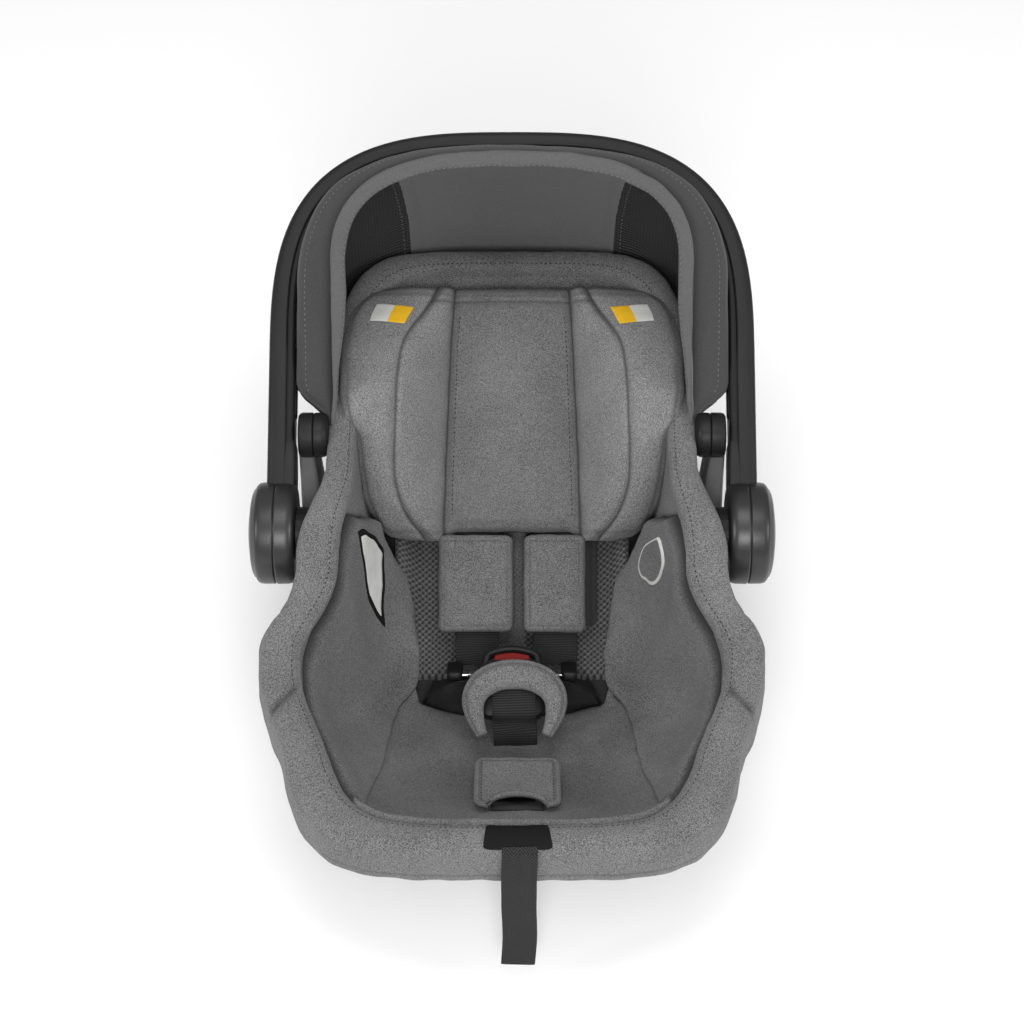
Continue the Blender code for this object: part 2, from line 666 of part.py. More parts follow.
def wing_rise(x, along):
    """Height of the headrest's wing above the back pad at a distance from the centre line."""
    share = max(0.0, (abs(x) - 0.058) / (headrest_half(along) - 0.058))
    return 0.004 + 0.060 * share ** 1.6


def headrest_grid(share_from, share_to, above, columns, trim=0.0):
    """Grid between two shares of the headrest's half width, at a height above its base surface."""
    rows = 7
    grid = []
    for r in range(rows):
        along = HEADREST_FOOT + trim + (HEADREST_TOP - HEADREST_FOOT - 2.0 * trim) * r / (rows - 1)
        row = []
        for c in range(columns):
            x = headrest_half(along) * (share_from + (share_to - share_from) * c / (columns - 1))
            row.append(back_point(x, along, wing_rise(x, along) + above))
        grid.append(row)
    return grid


def build_headrest(b):
    b.slab("headrest_shell", headrest_grid(-0.94, 0.94, 0.0035, 13, trim=0.006),
           headrest_grid(-0.94, 0.94, 0.0005, 13, trim=0.006), "black_plastic")
    b.slab("headrest_centre_pad", headrest_grid(-0.40, 0.40, 0.022, 5),
           headrest_grid(-0.40, 0.40, 0.0060, 5), "melange_fabric")
    for side, sign in SIDES.items():
        b.slab("headrest_wing_" + side, headrest_grid(sign * 0.41, sign, 0.026, 6),
               headrest_grid(sign * 0.41, sign, 0.0075, 6), "melange_fabric")
    lever = back_point(0.0, 0.352, 0.010)
    b.box("headrest_lever", (0.060, 0.018, 0.010), lever, "grey_plastic", BACK_ANGLE, 2.0 * EDGE)


# ---- seat cover and pads ------------------------------------------------------------------
def skirt_depth(y):
    """Depth of the cover's skirt: short beside the hubs, where the bosses pass."""
    at_hub = smooth_step(y, -0.092, -0.078) * (1.0 - smooth_step(y, 0.045, 0.060))
    deep = 0.034 + 0.018 * smooth_step(y, -0.27, -0.18)
    return deep - (deep - 0.005) * at_hub


def build_cover(b):
    """Elasticated cover: a skirt round the outside of the rim and a lip over its top."""
    section = ((0.0008, -1.0), (0.0062, -1.0), (0.0075, -0.35), (0.0050, 0.0050), (-0.004, 0.0085),
               (-0.0150, 0.0065), (-0.0150, 0.0012), (0.0008, 0.0012))
    loops = []
    for out, up in section:
        loop = []
        for angle in ring_angles():
            y_rim = rim_plan(angle)[1]
            slim = 1.0 - 0.55 * smooth_step(y_rim, -0.09, 0.0)
            x, y = rim_plan(angle, out * slim if out > 0.001 else out)
            drop = up if up > 0.0 else up * skirt_depth(y_rim)
            loop.append((x, y, soft_rim_height(y_rim) + drop))
        loops.append(loop)
    b.loft("cover_rim", loops, "melange_fabric", ring=True)


def bolster_grid(sign, rows, columns, raise_by):
    """Grid on the cavity wall: from the foot end to the hub, from the floor up to the rim."""
    grid = []
    for r in range(rows):
        angle = radians(-56.0 + 62.0 * r / (rows - 1))
        if sign < 0:
            angle = pi - angle
        row = []
        for c in range(columns):
            turn = radians(80.0 - 72.0 * c / (columns - 1))
            power = 2.0 / 2.3
            wide = cos(turn) ** power
            grow = -(SHELL_WALL + 0.0012 + LINER_WALL) - raise_by
            x, y = rim_plan(angle, grow, 0.60 + 0.40 * wide)
            rim = soft_rim_height(rim_plan(angle, grow)[1]) - 0.002
            floor = floor_height(y) - PAD_DROP + raise_by
            row.append((x, y, rim - (rim - floor) * sin(turn) ** power))
        grid.append(row)
    return grid


def build_pads(b):
    for side, sign in SIDES.items():
        b.slab("side_bolster_" + side, bolster_grid(sign, 9, 6, 0.015), bolster_grid(sign, 9, 6, 0.0040),
               "melange_fabric")

    def pan_grid(above):
        return [[pan_point(share * (0.060 + 0.06 * along), along, above)
                 for share in (-1.0, -0.5, 0.0, 0.5, 1.0)] for along in (0.022, 0.07, 0.12, 0.165)]

    pan = b.slab("seat_pan_pad", pan_grid(-0.002), pan_grid(-0.0145), "melange_fabric")
    for name, size, place in (("pan_crotch_cutter", (0.046, 0.014, 0.06), pan_point(0.0, 0.083, 0.0)),
                              ("pan_adjuster_cutter", (0.044, 0.054, 0.06), pan_point(0.0, 0.135, 0.0))):
        b.boolean(pan, b.box(name, size, place, "foam", -PAN_ANGLE), "DIFFERENCE")

    def back_grid(above):
        return [[back_point(x, along, above) for x in (-BACK_HALF_WIDTH, 0.0, BACK_HALF_WIDTH)]
                for along in (0.020, 0.11, 0.20, 0.28)]

    b.slab("back_pad", back_grid(0.0), back_grid(-0.009), "knit_mesh")
    flap = pan_point(0.0, 0.138, 0.0075)
    b.box("adjuster_flap", (0.070, 0.060, 0.004), flap, "melange_fabric", -PAN_ANGLE, EDGE)


# ---- harness ------------------------------------------------------------------------------
def web(b, name, path, width, material="webbing", thickness=WEB_THICKNESS):
    """Flat strap along (x, y, z) points, lying across its own path."""
    points = [Vector(p) for p in path]
    top = []
    bottom = []
    for i, p in enumerate(points):
        direction = (points[min(i + 1, len(points) - 1)] - points[max(i - 1, 0)]).normalized()
        across = Vector((1.0, 0.0, 0.0))
        across = (across - direction * across.dot(direction)).normalized()
        normal = direction.cross(across).normalized()
        side = across * width / 2.0
        face = normal * thickness / 2.0
        top.append([p - side + face, p + side + face])
        bottom.append([p - side - face, p + side - face])
    return b.slab(name, top, bottom, material)


def build_harness(b):
    for side, sign in SIDES.items():
        x = sign * 0.036
        shoulder = [back_point(x, 0.128, 0.0065), back_point(x, 0.090, 0.0080), back_point(x, 0.050, 0.0100),
                    back_point(x, 0.030, 0.0160), back_point(sign * 0.034, 0.018, 0.0200)]
        web(b, "shoulder_strap_" + side, shoulder, WEB_WIDTH)
        pad = [back_point(x, along, 0.0155) for along in (0.052, 0.09, 0.128)]
        web(b, "shoulder_pad_" + side, pad, 0.060, "melange_fabric", 0.006)
        hip = [(sign * 0.092, CREASE.y - 0.016, 0.092), (sign * 0.060, CREASE.y - 0.014, 0.106)]
        b.slab("hip_strap_" + side, *strap_between(hip, 0.030), "webbing")
        b.box("tongue_" + side, (0.024, 0.004, 0.026), (sign * 0.0425, -0.0980, 0.1160), "steel",
              radians(-35.0), EDGE)
    build_buckle(b)
    crotch = [pan_point(0.0, 0.083, -0.040), pan_point(0.0, 0.083, 0.0), (0.0, -0.1600, 0.1070),
              (0.0, -0.1515, 0.1092)]
    web(b, "crotch_strap", crotch, 0.036)
    crotch_pad = [buckle_point(along, 0.0172) for along in (0.030, 0.0, -0.026)] + [(0.0, -0.171, 0.1235)]
    web(b, "crotch_pad", crotch_pad, 0.080, "melange_fabric", 0.008)
    housing = pan_point(0.0, 0.135, -0.012)
    b.box("adjuster_housing", (0.040, 0.050, 0.016), housing, "black_plastic", -PAN_ANGLE, 2.0 * EDGE)
    lever = pan_point(0.0, 0.131, -0.0010)
    b.box("adjuster_lever", (0.026, 0.032, 0.004), lever, "grey_plastic", -PAN_ANGLE, EDGE,
          origin=pan_point(0.0, 0.117, -0.0010))
    tail = [(TAIL_SIDE, FOOT_END - 0.0115, 0.158), (TAIL_SIDE, FOOT_END - 0.0120, 0.115),
            (TAIL_SIDE, FOOT_END - 0.0105, 0.070), (TAIL_SIDE, FOOT_END - 0.0115, 0.032)]
    web(b, "adjuster_tail", tail, TAIL_WIDTH)
    b.box("harness_splitter", (0.080, 0.003, 0.030), (0.0, 0.072, 0.126), "steel", radians(-50.0), EDGE)


def buckle_point(along, above, x=0.0):
    """Point on the buckle: along it towards the head end, and above its middle."""
    return (x,
            BUCKLE.y + along * cos(BUCKLE_ANGLE) - above * sin(BUCKLE_ANGLE),
            BUCKLE.z + along * sin(BUCKLE_ANGLE) + above * cos(BUCKLE_ANGLE))


def build_buckle(b):
    """Buckle lying back over the crotch strap, with its red button in the upper end."""
    body = b.box("buckle_body", (0.056, 0.056, 0.020), BUCKLE, "black_plastic", BUCKLE_ANGLE)
    pocket = b.box("buckle_pocket_cutter", (0.0308, 0.020, 0.0128), buckle_point(0.027, 0.0), "black_plastic",
                   BUCKLE_ANGLE)
    b.boolean(body, pocket, "DIFFERENCE")
    button = buckle_point(0.0270, 0.0)
    b.box("buckle_button", (0.030, 0.008, 0.012), button, "red_plastic", BUCKLE_ANGLE, EDGE)


def strap_between(points, width):
    """Two grids for a short strap that runs sideways, standing on edge."""
    half = WEB_THICKNESS / 2.0
    lean = Vector((0.0, -sin(radians(50.0)), cos(radians(50.0)))) * width / 2.0
    face = Vector((0.0, -cos(radians(50.0)), -sin(radians(50.0))))
    top = [[Vector(p) - lean + face * half, Vector(p) + lean + face * half] for p in points]
    bottom = [[Vector(p) - lean - face * half, Vector(p) + lean - face * half] for p in points]
    return top, bottom


def main():
    clear_scene()
    b = Builder(make_materials())
    build_shell(b)
    build_liner(b)
    build_runners(b)
    build_rear_release(b)
    build_hub_fixtures(b)
    build_handle(b)
    build_hub_caps(b)
    build_canopy_fixtures(b)
    build_canopy(b)
    build_headrest(b)
    build_cover(b)
    build_pads(b)
    build_harness(b)


main()
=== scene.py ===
import json
from math import cos, degrees, pi, radians, sin, tan

import bpy
import numpy as np
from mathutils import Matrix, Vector, noise


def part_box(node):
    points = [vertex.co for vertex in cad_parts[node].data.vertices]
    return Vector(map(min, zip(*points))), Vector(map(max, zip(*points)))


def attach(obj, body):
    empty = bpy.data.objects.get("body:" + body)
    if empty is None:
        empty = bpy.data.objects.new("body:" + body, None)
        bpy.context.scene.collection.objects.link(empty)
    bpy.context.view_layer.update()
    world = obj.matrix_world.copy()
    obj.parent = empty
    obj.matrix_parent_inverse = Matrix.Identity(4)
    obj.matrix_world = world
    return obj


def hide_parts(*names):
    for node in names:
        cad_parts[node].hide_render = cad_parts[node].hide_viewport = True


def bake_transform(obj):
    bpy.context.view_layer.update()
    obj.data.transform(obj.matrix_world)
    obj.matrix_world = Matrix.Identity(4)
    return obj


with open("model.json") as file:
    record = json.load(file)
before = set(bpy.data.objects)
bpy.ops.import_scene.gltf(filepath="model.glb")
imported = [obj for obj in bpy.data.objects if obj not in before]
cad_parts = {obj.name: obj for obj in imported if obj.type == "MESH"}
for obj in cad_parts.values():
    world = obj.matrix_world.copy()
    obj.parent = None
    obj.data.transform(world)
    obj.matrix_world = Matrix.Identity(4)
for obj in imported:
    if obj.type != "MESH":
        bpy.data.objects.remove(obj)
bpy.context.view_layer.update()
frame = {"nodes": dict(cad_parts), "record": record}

JOINTS = {j["name"]: j for j in frame["record"]["behaviour"]["joints"]}

# ---- frame of the seat --------------------------------------------------------------------
FOOT_END = -0.325
HEAD_END = 0.222
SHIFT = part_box("outer_shell")[0].y - FOOT_END
HUB = Vector(JOINTS["handle_hinge"]["pos_m"]) - Vector((0.0, SHIFT, 0.0))
CANOPY = Vector(JOINTS["canopy_mid_hinge"]["pos_m"]) - Vector((0.0, SHIFT, 0.0))

# bucket
FOOT_HALF_WIDTH = 0.182
THIGH_HALF_WIDTH = 0.200
HUB_HALF_WIDTH = 0.170
HEAD_HALF_WIDTH = 0.152
RIM_Y = (-0.325, -0.25, -0.17, -0.115, -0.075, -0.045, 0.0, 0.06, 0.12, 0.222)
RIM_Z = (0.180, 0.187, 0.203, 0.226, 0.264, 0.271, 0.278, 0.284, 0.293, 0.304)
KEEL_HEIGHT = 0.018
WALL = 0.0147                    # shell, gap and liner together
PLAN_MIDDLE = (FOOT_END + HEAD_END) / 2.0
PLAN_HALF = (HEAD_END - FOOT_END) / 2.0
FOOT_SQUARENESS = 5.0            # powers of the plan's rounded outline
HEAD_SQUARENESS = 5.5
FLOOR_SHARE = 0.60               # size of the cavity's plan at its floor, as a share of the rim's
CAVITY_POWER = 2.0 / 2.3         # roundness of the cavity's wall
RIM_DROP = 0.002                 # the cavity's wall starts this far below the rim
CREASE = (0.0, -0.090, 0.075)
BACK_ANGLE = radians(39.0)
PAN_ANGLE = radians(20.0)
PAD_DROP = 0.017

# handle and hubs
HANDLE_TILT = radians(58.0)
HANDLE_REACH = 0.3475
HANDLE_HALF_WIDTH = 0.205
HANDLE_STRAIGHT = 0.150

# canopy
FRONT_BOW = radians(32.6)
MID_BOW = radians(54.0)
CANOPY_STRAIGHT = 0.150

# camera
VIEW_ELEVATION = radians(48.0)
VIEW_DISTANCE = 2.0
VIEW_LENS = 83.9
AIM_RISE = 0.0176                # aim point above the hub axis, across the view

# light: strength of the world at the horizon and overhead, then lamps as place, aim, size, power
HORIZON_LIGHT = 0.22
ZENITH_LIGHT = 0.62
LAMPS = {"overhead": ((0.0, -0.2, 2.6), (0.0, 0.0, 0.2), 1.3, 16.0),
         "front": ((0.0, -2.3, 1.9), (0.0, 0.0, 0.25), 1.0, 40.0),
         "side_left": ((-2.2, -0.9, 1.5), (0.0, 0.0, 0.25), 0.9, 24.0),
         "side_right": ((2.2, -0.9, 1.5), (0.0, 0.0, 0.25), 0.9, 24.0)}
FLOOR_HALF = 6.0
FLOOR_LOW = -0.0005              # just below the seat, so that the two never share a face
FLOOR_LOOK = {"Base Color": (0.93, 0.93, 0.93, 1.0), "Roughness": 0.9, "Specular IOR Level": 0.1,
              "Emission Color": (1.0, 1.0, 1.0, 1.0), "Emission Strength": 0.05}

SIDES = {"left": -1.0, "right": 1.0}


# ---- camera, light and floor --------------------------------------------------------------
def add_camera():
    aim = HUB + Vector((0.0, SHIFT, 0.0)) + AIM_RISE * Vector((0.0, sin(VIEW_ELEVATION), cos(VIEW_ELEVATION)))
    data = bpy.data.cameras.new("view")
    data.lens = VIEW_LENS
    camera = bpy.data.objects.new("view", data)
    camera.location = aim + VIEW_DISTANCE * Vector((0.0, -cos(VIEW_ELEVATION), sin(VIEW_ELEVATION)))
    camera.rotation_euler = (pi / 2.0 - VIEW_ELEVATION, 0.0, 0.0)
    bpy.context.collection.objects.link(camera)
    bpy.context.scene.camera = camera


def add_area_light(name, place, aim, size, power):
    data = bpy.data.lights.new(name, "AREA")
    data.shape = "DISK"
    data.size = size
    data.energy = power
    light = bpy.data.objects.new(name, data)
    light.location = place
    light.rotation_euler = (Vector(aim) - Vector(place)).to_track_quat("-Z", "Y").to_euler()
    bpy.context.collection.objects.link(light)


def add_world():
    """White world, brighter overhead than at the horizon."""
    world = bpy.data.worlds.new("studio")
    bpy.context.scene.world = world
    world.use_nodes = True
    nodes = world.node_tree.nodes
    links = world.node_tree.links
    direction = nodes.new("ShaderNodeTexCoord").outputs["Generated"]
    parts = nodes.new("ShaderNodeSeparateXYZ")
    links.new(direction, parts.inputs[0])
    rise = nodes.new("ShaderNodeMapRange")
    rise.inputs["From Min"].default_value = -0.1
    rise.inputs["From Max"].default_value = 0.9
    rise.inputs["To Min"].default_value = HORIZON_LIGHT
    rise.inputs["To Max"].default_value = ZENITH_LIGHT
    links.new(parts.outputs["Z"], rise.inputs["Value"])
    links.new(rise.outputs["Result"], nodes["Background"].inputs["Strength"])
    nodes["Background"].inputs["Color"].default_value = (1.0, 1.0, 1.0, 1.0)


def add_floor():
    mesh = bpy.data.meshes.new("floor")
    corners = [(x * FLOOR_HALF, y * FLOOR_HALF, FLOOR_LOW) for x, y in ((-1, -1), (1, -1), (1, 1), (-1, 1))]
    mesh.from_pydata(corners, [], [(0, 1, 2, 3)])
    floor = bpy.data.objects.new("floor", mesh)
    bpy.context.collection.objects.link(floor)
    material = bpy.data.materials.new("floor_white")
    material.use_nodes = True
    shader = material.node_tree.nodes["Principled BSDF"]
    for socket, value in FLOOR_LOOK.items():
        shader.inputs[socket].default_value = value
    mesh.materials.append(material)


def add_studio():
    add_world()
    for name, (place, aim, size, power) in LAMPS.items():
        add_area_light(name, place, aim, size, power)
    bpy.context.scene.view_settings.view_transform = "Standard"
    add_floor()


# ---- procedural materials -----------------------------------------------------------------
class Shader:
    """A material's node tree with short calls for the nodes used here."""

    def __init__(self, name, roughness, metallic=0.0, specular=0.5):
        self.material = bpy.data.materials.new(name)
        self.material.use_nodes = True
        self.tree = self.material.node_tree
        self.shader = self.tree.nodes["Principled BSDF"]
        self.set("Roughness", roughness)
        self.set("Metallic", metallic)
        self.set("Specular IOR Level", specular)
        self.place = self.tree.nodes.new("ShaderNodeTexCoord").outputs["Object"]

    def set(self, socket, value):
        self.shader.inputs[socket].default_value = value

    def link(self, value, target):
        if isinstance(value, (int, float)):
            target.default_value = value
        elif isinstance(value, tuple):
            target.default_value = (*value, 1.0)
        else:
            self.tree.links.new(value, target)

    def noise(self, size, detail=2.0, rough=0.5):
        node = self.tree.nodes.new("ShaderNodeTexNoise")
        node.inputs["Scale"].default_value = 1.0 / size
        node.inputs["Detail"].default_value = detail
        node.inputs["Roughness"].default_value = rough
        self.tree.links.new(self.place, node.inputs["Vector"])
        return node.outputs["Fac"]

    def math(self, operation, a, b=0.0):
        node = self.tree.nodes.new("ShaderNodeMath")
        node.operation = operation
        self.link(a, node.inputs[0])
        self.link(b, node.inputs[1])
        return node.outputs[0]

    def stretch(self, value, low, high, to_low=0.0, to_high=1.0):
        node = self.tree.nodes.new("ShaderNodeMapRange")
        self.link(value, node.inputs["Value"])
        node.inputs["From Min"].default_value = low
        node.inputs["From Max"].default_value = high
        node.inputs["To Min"].default_value = to_low
        node.inputs["To Max"].default_value = to_high
        return node.outputs["Result"]

    def mix(self, share, a, b):
        node = self.tree.nodes.new("ShaderNodeMix")
        node.data_type = "RGBA"
        self.link(share, node.inputs[0])
        self.link(a, node.inputs[6])
        self.link(b, node.inputs[7])
        return node.outputs[2]

    def attribute(self, name, output="Fac"):
        node = self.tree.nodes.new("ShaderNodeAttribute")
        node.attribute_name = name
        return node.outputs[output]

    def split(self, vector):
        node = self.tree.nodes.new("ShaderNodeSeparateXYZ")
        self.tree.links.new(vector, node.inputs[0])
        return node.outputs

    def wave(self, value, pitch):
        """Sine of a length, from -1 to 1, with the given pitch."""
        return self.math("SINE", self.math("MULTIPLY", value, 2.0 * pi / pitch))

    def colour(self, value):
        self.link(value, self.shader.inputs["Base Color"])

    def roughness(self, value):
        self.link(value, self.shader.inputs["Roughness"])

    def bump(self, height, depth):
        node = self.tree.nodes.new("ShaderNodeBump")
        node.inputs["Strength"].default_value = 1.0
        node.inputs["Distance"].default_value = depth
        self.link(height, node.inputs["Height"])
        self.tree.links.new(node.outputs["Normal"], self.shader.inputs["Normal"])


def grey(value):
    return (value, value, value * 1.01)


def plastic(name, tone, roughness, grain=0.0009, depth=0.00005, specular=0.3):
    """Moulded plastic with a fine grain and faint lighter patches."""
    s = Shader(name, roughness, specular=specular)
    patches = s.noise(0.06, 3.0)
    specks = s.noise(grain, 2.0)
    s.colour(s.mix(s.stretch(patches, 0.3, 0.7), grey(tone), grey(tone * 1.35)))
    s.roughness(s.stretch(s.math("ADD", patches, s.math("MULTIPLY", specks, 0.5)), 0.4, 1.1,
                          roughness - 0.05, roughness + 0.08))
    s.bump(specks, depth)
    return s.material


def fabric(name, tone, contrast, fibre=0.0008, depth=0.00040, weave=0.0015):
    """Woven cloth with heathered fibres; the shade attribute paints shade into it, in its seams, grooves,
    creases and hollows.
    """
    s = Shader(name, 0.92, specular=0.2)
    s.set("Sheen Weight", 0.10)
    s.set("Sheen Roughness", 0.55)
    fibres = s.noise(fibre, 3.0, 0.7)
    flecks = s.noise(fibre * 2.6, 2.0, 0.6)
    patches = s.noise(0.045, 3.0)
    mixed = s.math("ADD", s.math("MULTIPLY", fibres, 0.88), s.math("MULTIPLY", flecks, 0.12))
    share = s.math("ADD", s.stretch(mixed, 0.40, 0.60), s.stretch(patches, 0.3, 0.7, -0.08, 0.08))
    cloth = s.mix(share, grey(tone * (1.0 - contrast)), grey(tone * (1.0 + contrast)))
    # painted shade: the shade attribute mixes the cloth towards a dark grey
    s.colour(s.mix(s.attribute("shade"), cloth, grey(tone * 0.22)))
    x, y, z = s.split(s.place)
    warp = s.math("MULTIPLY", s.wave(x, weave), s.wave(s.math("ADD", y, z), weave))
    s.bump(s.math("ADD", s.math("MULTIPLY", warp, 0.16), mixed), depth)
    return s.material


def webbing(name, tone, rib=0.0021, herringbone=False):
    """Webbing: strap holds metres across and along, so that its ribs follow the strap."""
    s = Shader(name, 0.70, specular=0.12)
    across, along = s.split(s.attribute("strap", "Vector"))[:2]
    if herringbone:
        chevron = s.math("FRACT", s.math("DIVIDE", across, 0.0095))
        zigzag = s.math("ABSOLUTE", s.math("SUBTRACT", chevron, 0.5))
        run = s.math("ADD", along, s.math("MULTIPLY", zigzag, 0.0125))
    else:
        run = s.math("ADD", along, s.math("MULTIPLY", s.wave(across, 0.0019), 0.0002))
    ribs = s.stretch(s.wave(run, rib), -1.0, 1.0)
    yarn = s.stretch(s.wave(across, 0.0013), -1.0, 1.0)
    fuzz = s.noise(0.0007, 2.0)
    height = s.math("ADD", ribs, s.math("ADD", s.math("MULTIPLY", yarn, 0.35), s.math("MULTIPLY", fuzz, 0.3)))
    s.colour(s.mix(s.stretch(height, 0.3, 1.4), grey(tone * 0.45), grey(tone * 1.7)))
    s.bump(height, 0.0004)
    return s.material


def net(name, tone):
    """Fine see-through window net, drawn as close dark rows."""
    s = Shader(name, 0.80, specular=0.12)
    x, y, z = s.split(s.place)
    wobble = s.math("MULTIPLY", s.noise(0.02, 2.0), 0.004)
    slope = s.math("ADD", z, s.math("MULTIPLY", y, -0.6))
    rows = s.stretch(s.wave(s.math("ADD", slope, wobble), 0.0032), -1.0, 1.0)
    holes = s.stretch(s.wave(x, 0.0026), -1.0, 1.0)
    height = s.math("ADD", s.math("MULTIPLY", rows, 0.8), s.math("MULTIPLY", holes, 0.2))
    s.colour(s.mix(height, grey(tone * 0.4), grey(tone * 1.8)))
    s.bump(height, 0.0005)
    return s.material


def metal(name, tone, roughness):
    s = Shader(name, roughness, metallic=1.0)
    brushed = s.noise(0.004, 4.0, 0.7)
    s.colour(s.mix(brushed, grey(tone * 0.85), grey(tone)))
    s.roughness(s.stretch(brushed, 0.3, 0.7, roughness - 0.06, roughness + 0.08))
    s.bump(s.noise(0.0006, 2.0), 0.00003)
    return s.material


def tinted(name, colour, roughness):
    s = Shader(name, roughness, specular=0.12)
    cloudy = s.noise(0.01, 3.0)
    darker = tuple(c * 0.82 for c in colour)
    s.colour(s.mix(cloudy, darker, colour))
    s.bump(s.noise(0.0008, 2.0), 0.00004)
    return s.material


MATERIALS = {
    "charcoal": plastic("charcoal_plastic_fine", 0.010, 0.44, specular=0.22),
    "black": plastic("black_plastic_fine", 0.006, 0.45, specular=0.2),
    "grey": plastic("grey_plastic_fine", 0.075, 0.42),
    "post": plastic("post_plastic_fine", 0.150, 0.42),
    "grip": plastic("soft_grip_fine", 0.008, 0.75, 0.0007, 0.00012, specular=0.2),
    "foam": plastic("foam_beads", 0.022, 0.9, 0.004, 0.0006),
    "melange": fabric("melange_cloth", 0.130, 0.72, fibre=0.00072),
    # painted shade: a darker copy of the melange cloth for the bolsters, the pan and the flap
    "melange_painted_shade": fabric("melange_cloth_painted_shade", 0.116, 0.72, fibre=0.00072),
    # painted light: a lighter copy of the melange cloth for the headrest
    "melange_painted_light": fabric("melange_cloth_painted_light", 0.178, 0.66, fibre=0.00072),
    "hub": plastic("hub_plastic_fine", 0.014, 0.36, specular=0.50),
    "bucket": plastic("bucket_plastic_fine", 0.020, 0.50, specular=0.35),
    "lining": fabric("canopy_lining_cloth", 0.132, 0.13, fibre=0.0008, depth=0.0002, weave=0.0011),
    "canopy": fabric("canopy_outer_cloth", 0.046, 0.16, fibre=0.0008, depth=0.0002, weave=0.0011),
    "rim": fabric("canopy_rim_cloth", 0.088, 0.16, fibre=0.0008, depth=0.0002, weave=0.0011),
    # dark cloth for the right pad's backing, also used as painted shade in the crease and under the adjuster
    # flap's arch
    "dark_cloth_and_painted_shade": fabric("dark_underlay_cloth_and_painted_shade", 0.022, 0.35),
    "knit": fabric("knit_cloth", 0.120, 0.55, depth=0.0002),
    "net": net("window_net", 0.032),
    "webbing": webbing("webbing_ribbed", 0.020),
    "tail": webbing("webbing_herringbone", 0.024, 0.0030, True),
    "thread": tinted("stitch_thread", (0.16, 0.16, 0.16), 0.8),
    "dark_thread": tinted("dark_thread", (0.03, 0.03, 0.03), 0.8),
    "red": tinted("red_button", (0.17, 0.004, 0.004), 0.45),
    "steel": metal("plated_steel", 0.62, 0.28),
    "white_tag": tinted("white_tag", (0.62, 0.62, 0.60), 0.6),
    "yellow_tag": tinted("yellow_tag", (0.80, 0.46, 0.02), 0.6),
    "black_tag": tinted("black_tag", (0.008, 0.008, 0.008), 0.8),
}
SLOT_LOOKS = {
    "charcoal_plastic": ("charcoal", "hub", "bucket"),
    "black_plastic": ("black",),
    "grey_plastic": ("grey", "post"),
    "soft_grip": ("grip",),
    "foam": ("foam",),
    "melange_fabric": ("melange", "melange_painted_shade", "melange_painted_light", "dark_cloth_and_painted_shade", "thread", "dark_thread",
                       "white_tag", "yellow_tag", "black_tag"),
    "canopy_fabric": ("lining", "canopy", "rim", "net"),
    "knit_mesh": ("knit",),
    "webbing": ("webbing", "tail"),
    "red_plastic": ("red",),
    "steel": ("steel",),
}
SLOTS = {look: slot for slot, looks in SLOT_LOOKS.items() for look in looks}


# ---- small sums ---------------------------------------------------------------------------
def smooth_step(value, low, high):
    t = np.clip((value - low) / (high - low), 0.0, 1.0)
    return t * t * (3.0 - 2.0 * t)


def roll(distance, radius):
    """Rounded shoulder: 0 at an edge, 1 from the radius inwards."""
    t = 1.0 - np.clip(distance / radius, 0.0, 1.0)
    return np.sqrt(1.0 - t * t)


def valley(distance, width):
    return np.exp(-(distance / width) ** 2)


def along_lines(values, points):
    """Value between tabled (place, value) points."""
    places = [p for p, v in points]
    return np.interp(values, places, [v for p, v in points])


def unit(vectors):
    return vectors / np.linalg.norm(vectors, axis=-1, keepdims=True)


def run_along(path):
    """Length run along a path at each of its points."""
    return np.concatenate([[0.0], np.cumsum(np.linalg.norm(np.diff(path, axis=0), axis=1))])


def rounded_cut(end, corner):
    """How far a rounded corner draws the sides in, at a distance from the end."""
    return corner * (1.0 - roll(end, corner))


def angles(count):
    """Angles of a full turn, without the last one."""
    return np.arange(count) * 2.0 * pi / count


def ripple(points, size, seed):
    """Smooth noise from -1 to 1 at each point of a grid."""
    flat = points.reshape(-1, 3)
    offset = Vector((seed * 7.31, seed * 3.17, seed * 1.93))
    values = [noise.noise(Vector(p) / size + offset) for p in flat]
    return np.array(values).reshape(points.shape[:-1])


def smooth_curve(points, count):
    """Catmull-Rom curve through points, sampled evenly by parameter."""
    p = np.array(points, float)
    p = np.vstack([2 * p[0] - p[1], p, 2 * p[-1] - p[-2]])
    result = []
    for k in range(count):
        t = (len(p) - 3) * k / (count - 1)
        i = min(int(t), len(p) - 4)
        f = t - i
        a, b, c, d = p[i:i + 4]
        result.append(0.5 * ((2 * b) + (c - a) * f + (2 * a - 5 * b + 4 * c - d) * f * f
                             + (3 * b - a - 3 * c + d) * f ** 3))
    return np.array(result)


# ---- the seat's surfaces, as in the CAD ---------------------------------------------------
def rim_height(y):
    window = (-0.016, -0.008, 0.0, 0.008, 0.016)
    return sum(np.interp(y + step, RIM_Y, RIM_Z) for step in window) / len(window)


def half_width(y):
    width = FOOT_HALF_WIDTH + (THIGH_HALF_WIDTH - FOOT_HALF_WIDTH) * smooth_step(y, -0.245, -0.165)
    width = width + (HUB_HALF_WIDTH - THIGH_HALF_WIDTH) * smooth_step(y, -0.155, -0.090)
    return width + (HEAD_HALF_WIDTH - HUB_HALF_WIDTH) * smooth_step(y, -0.085, -0.005)


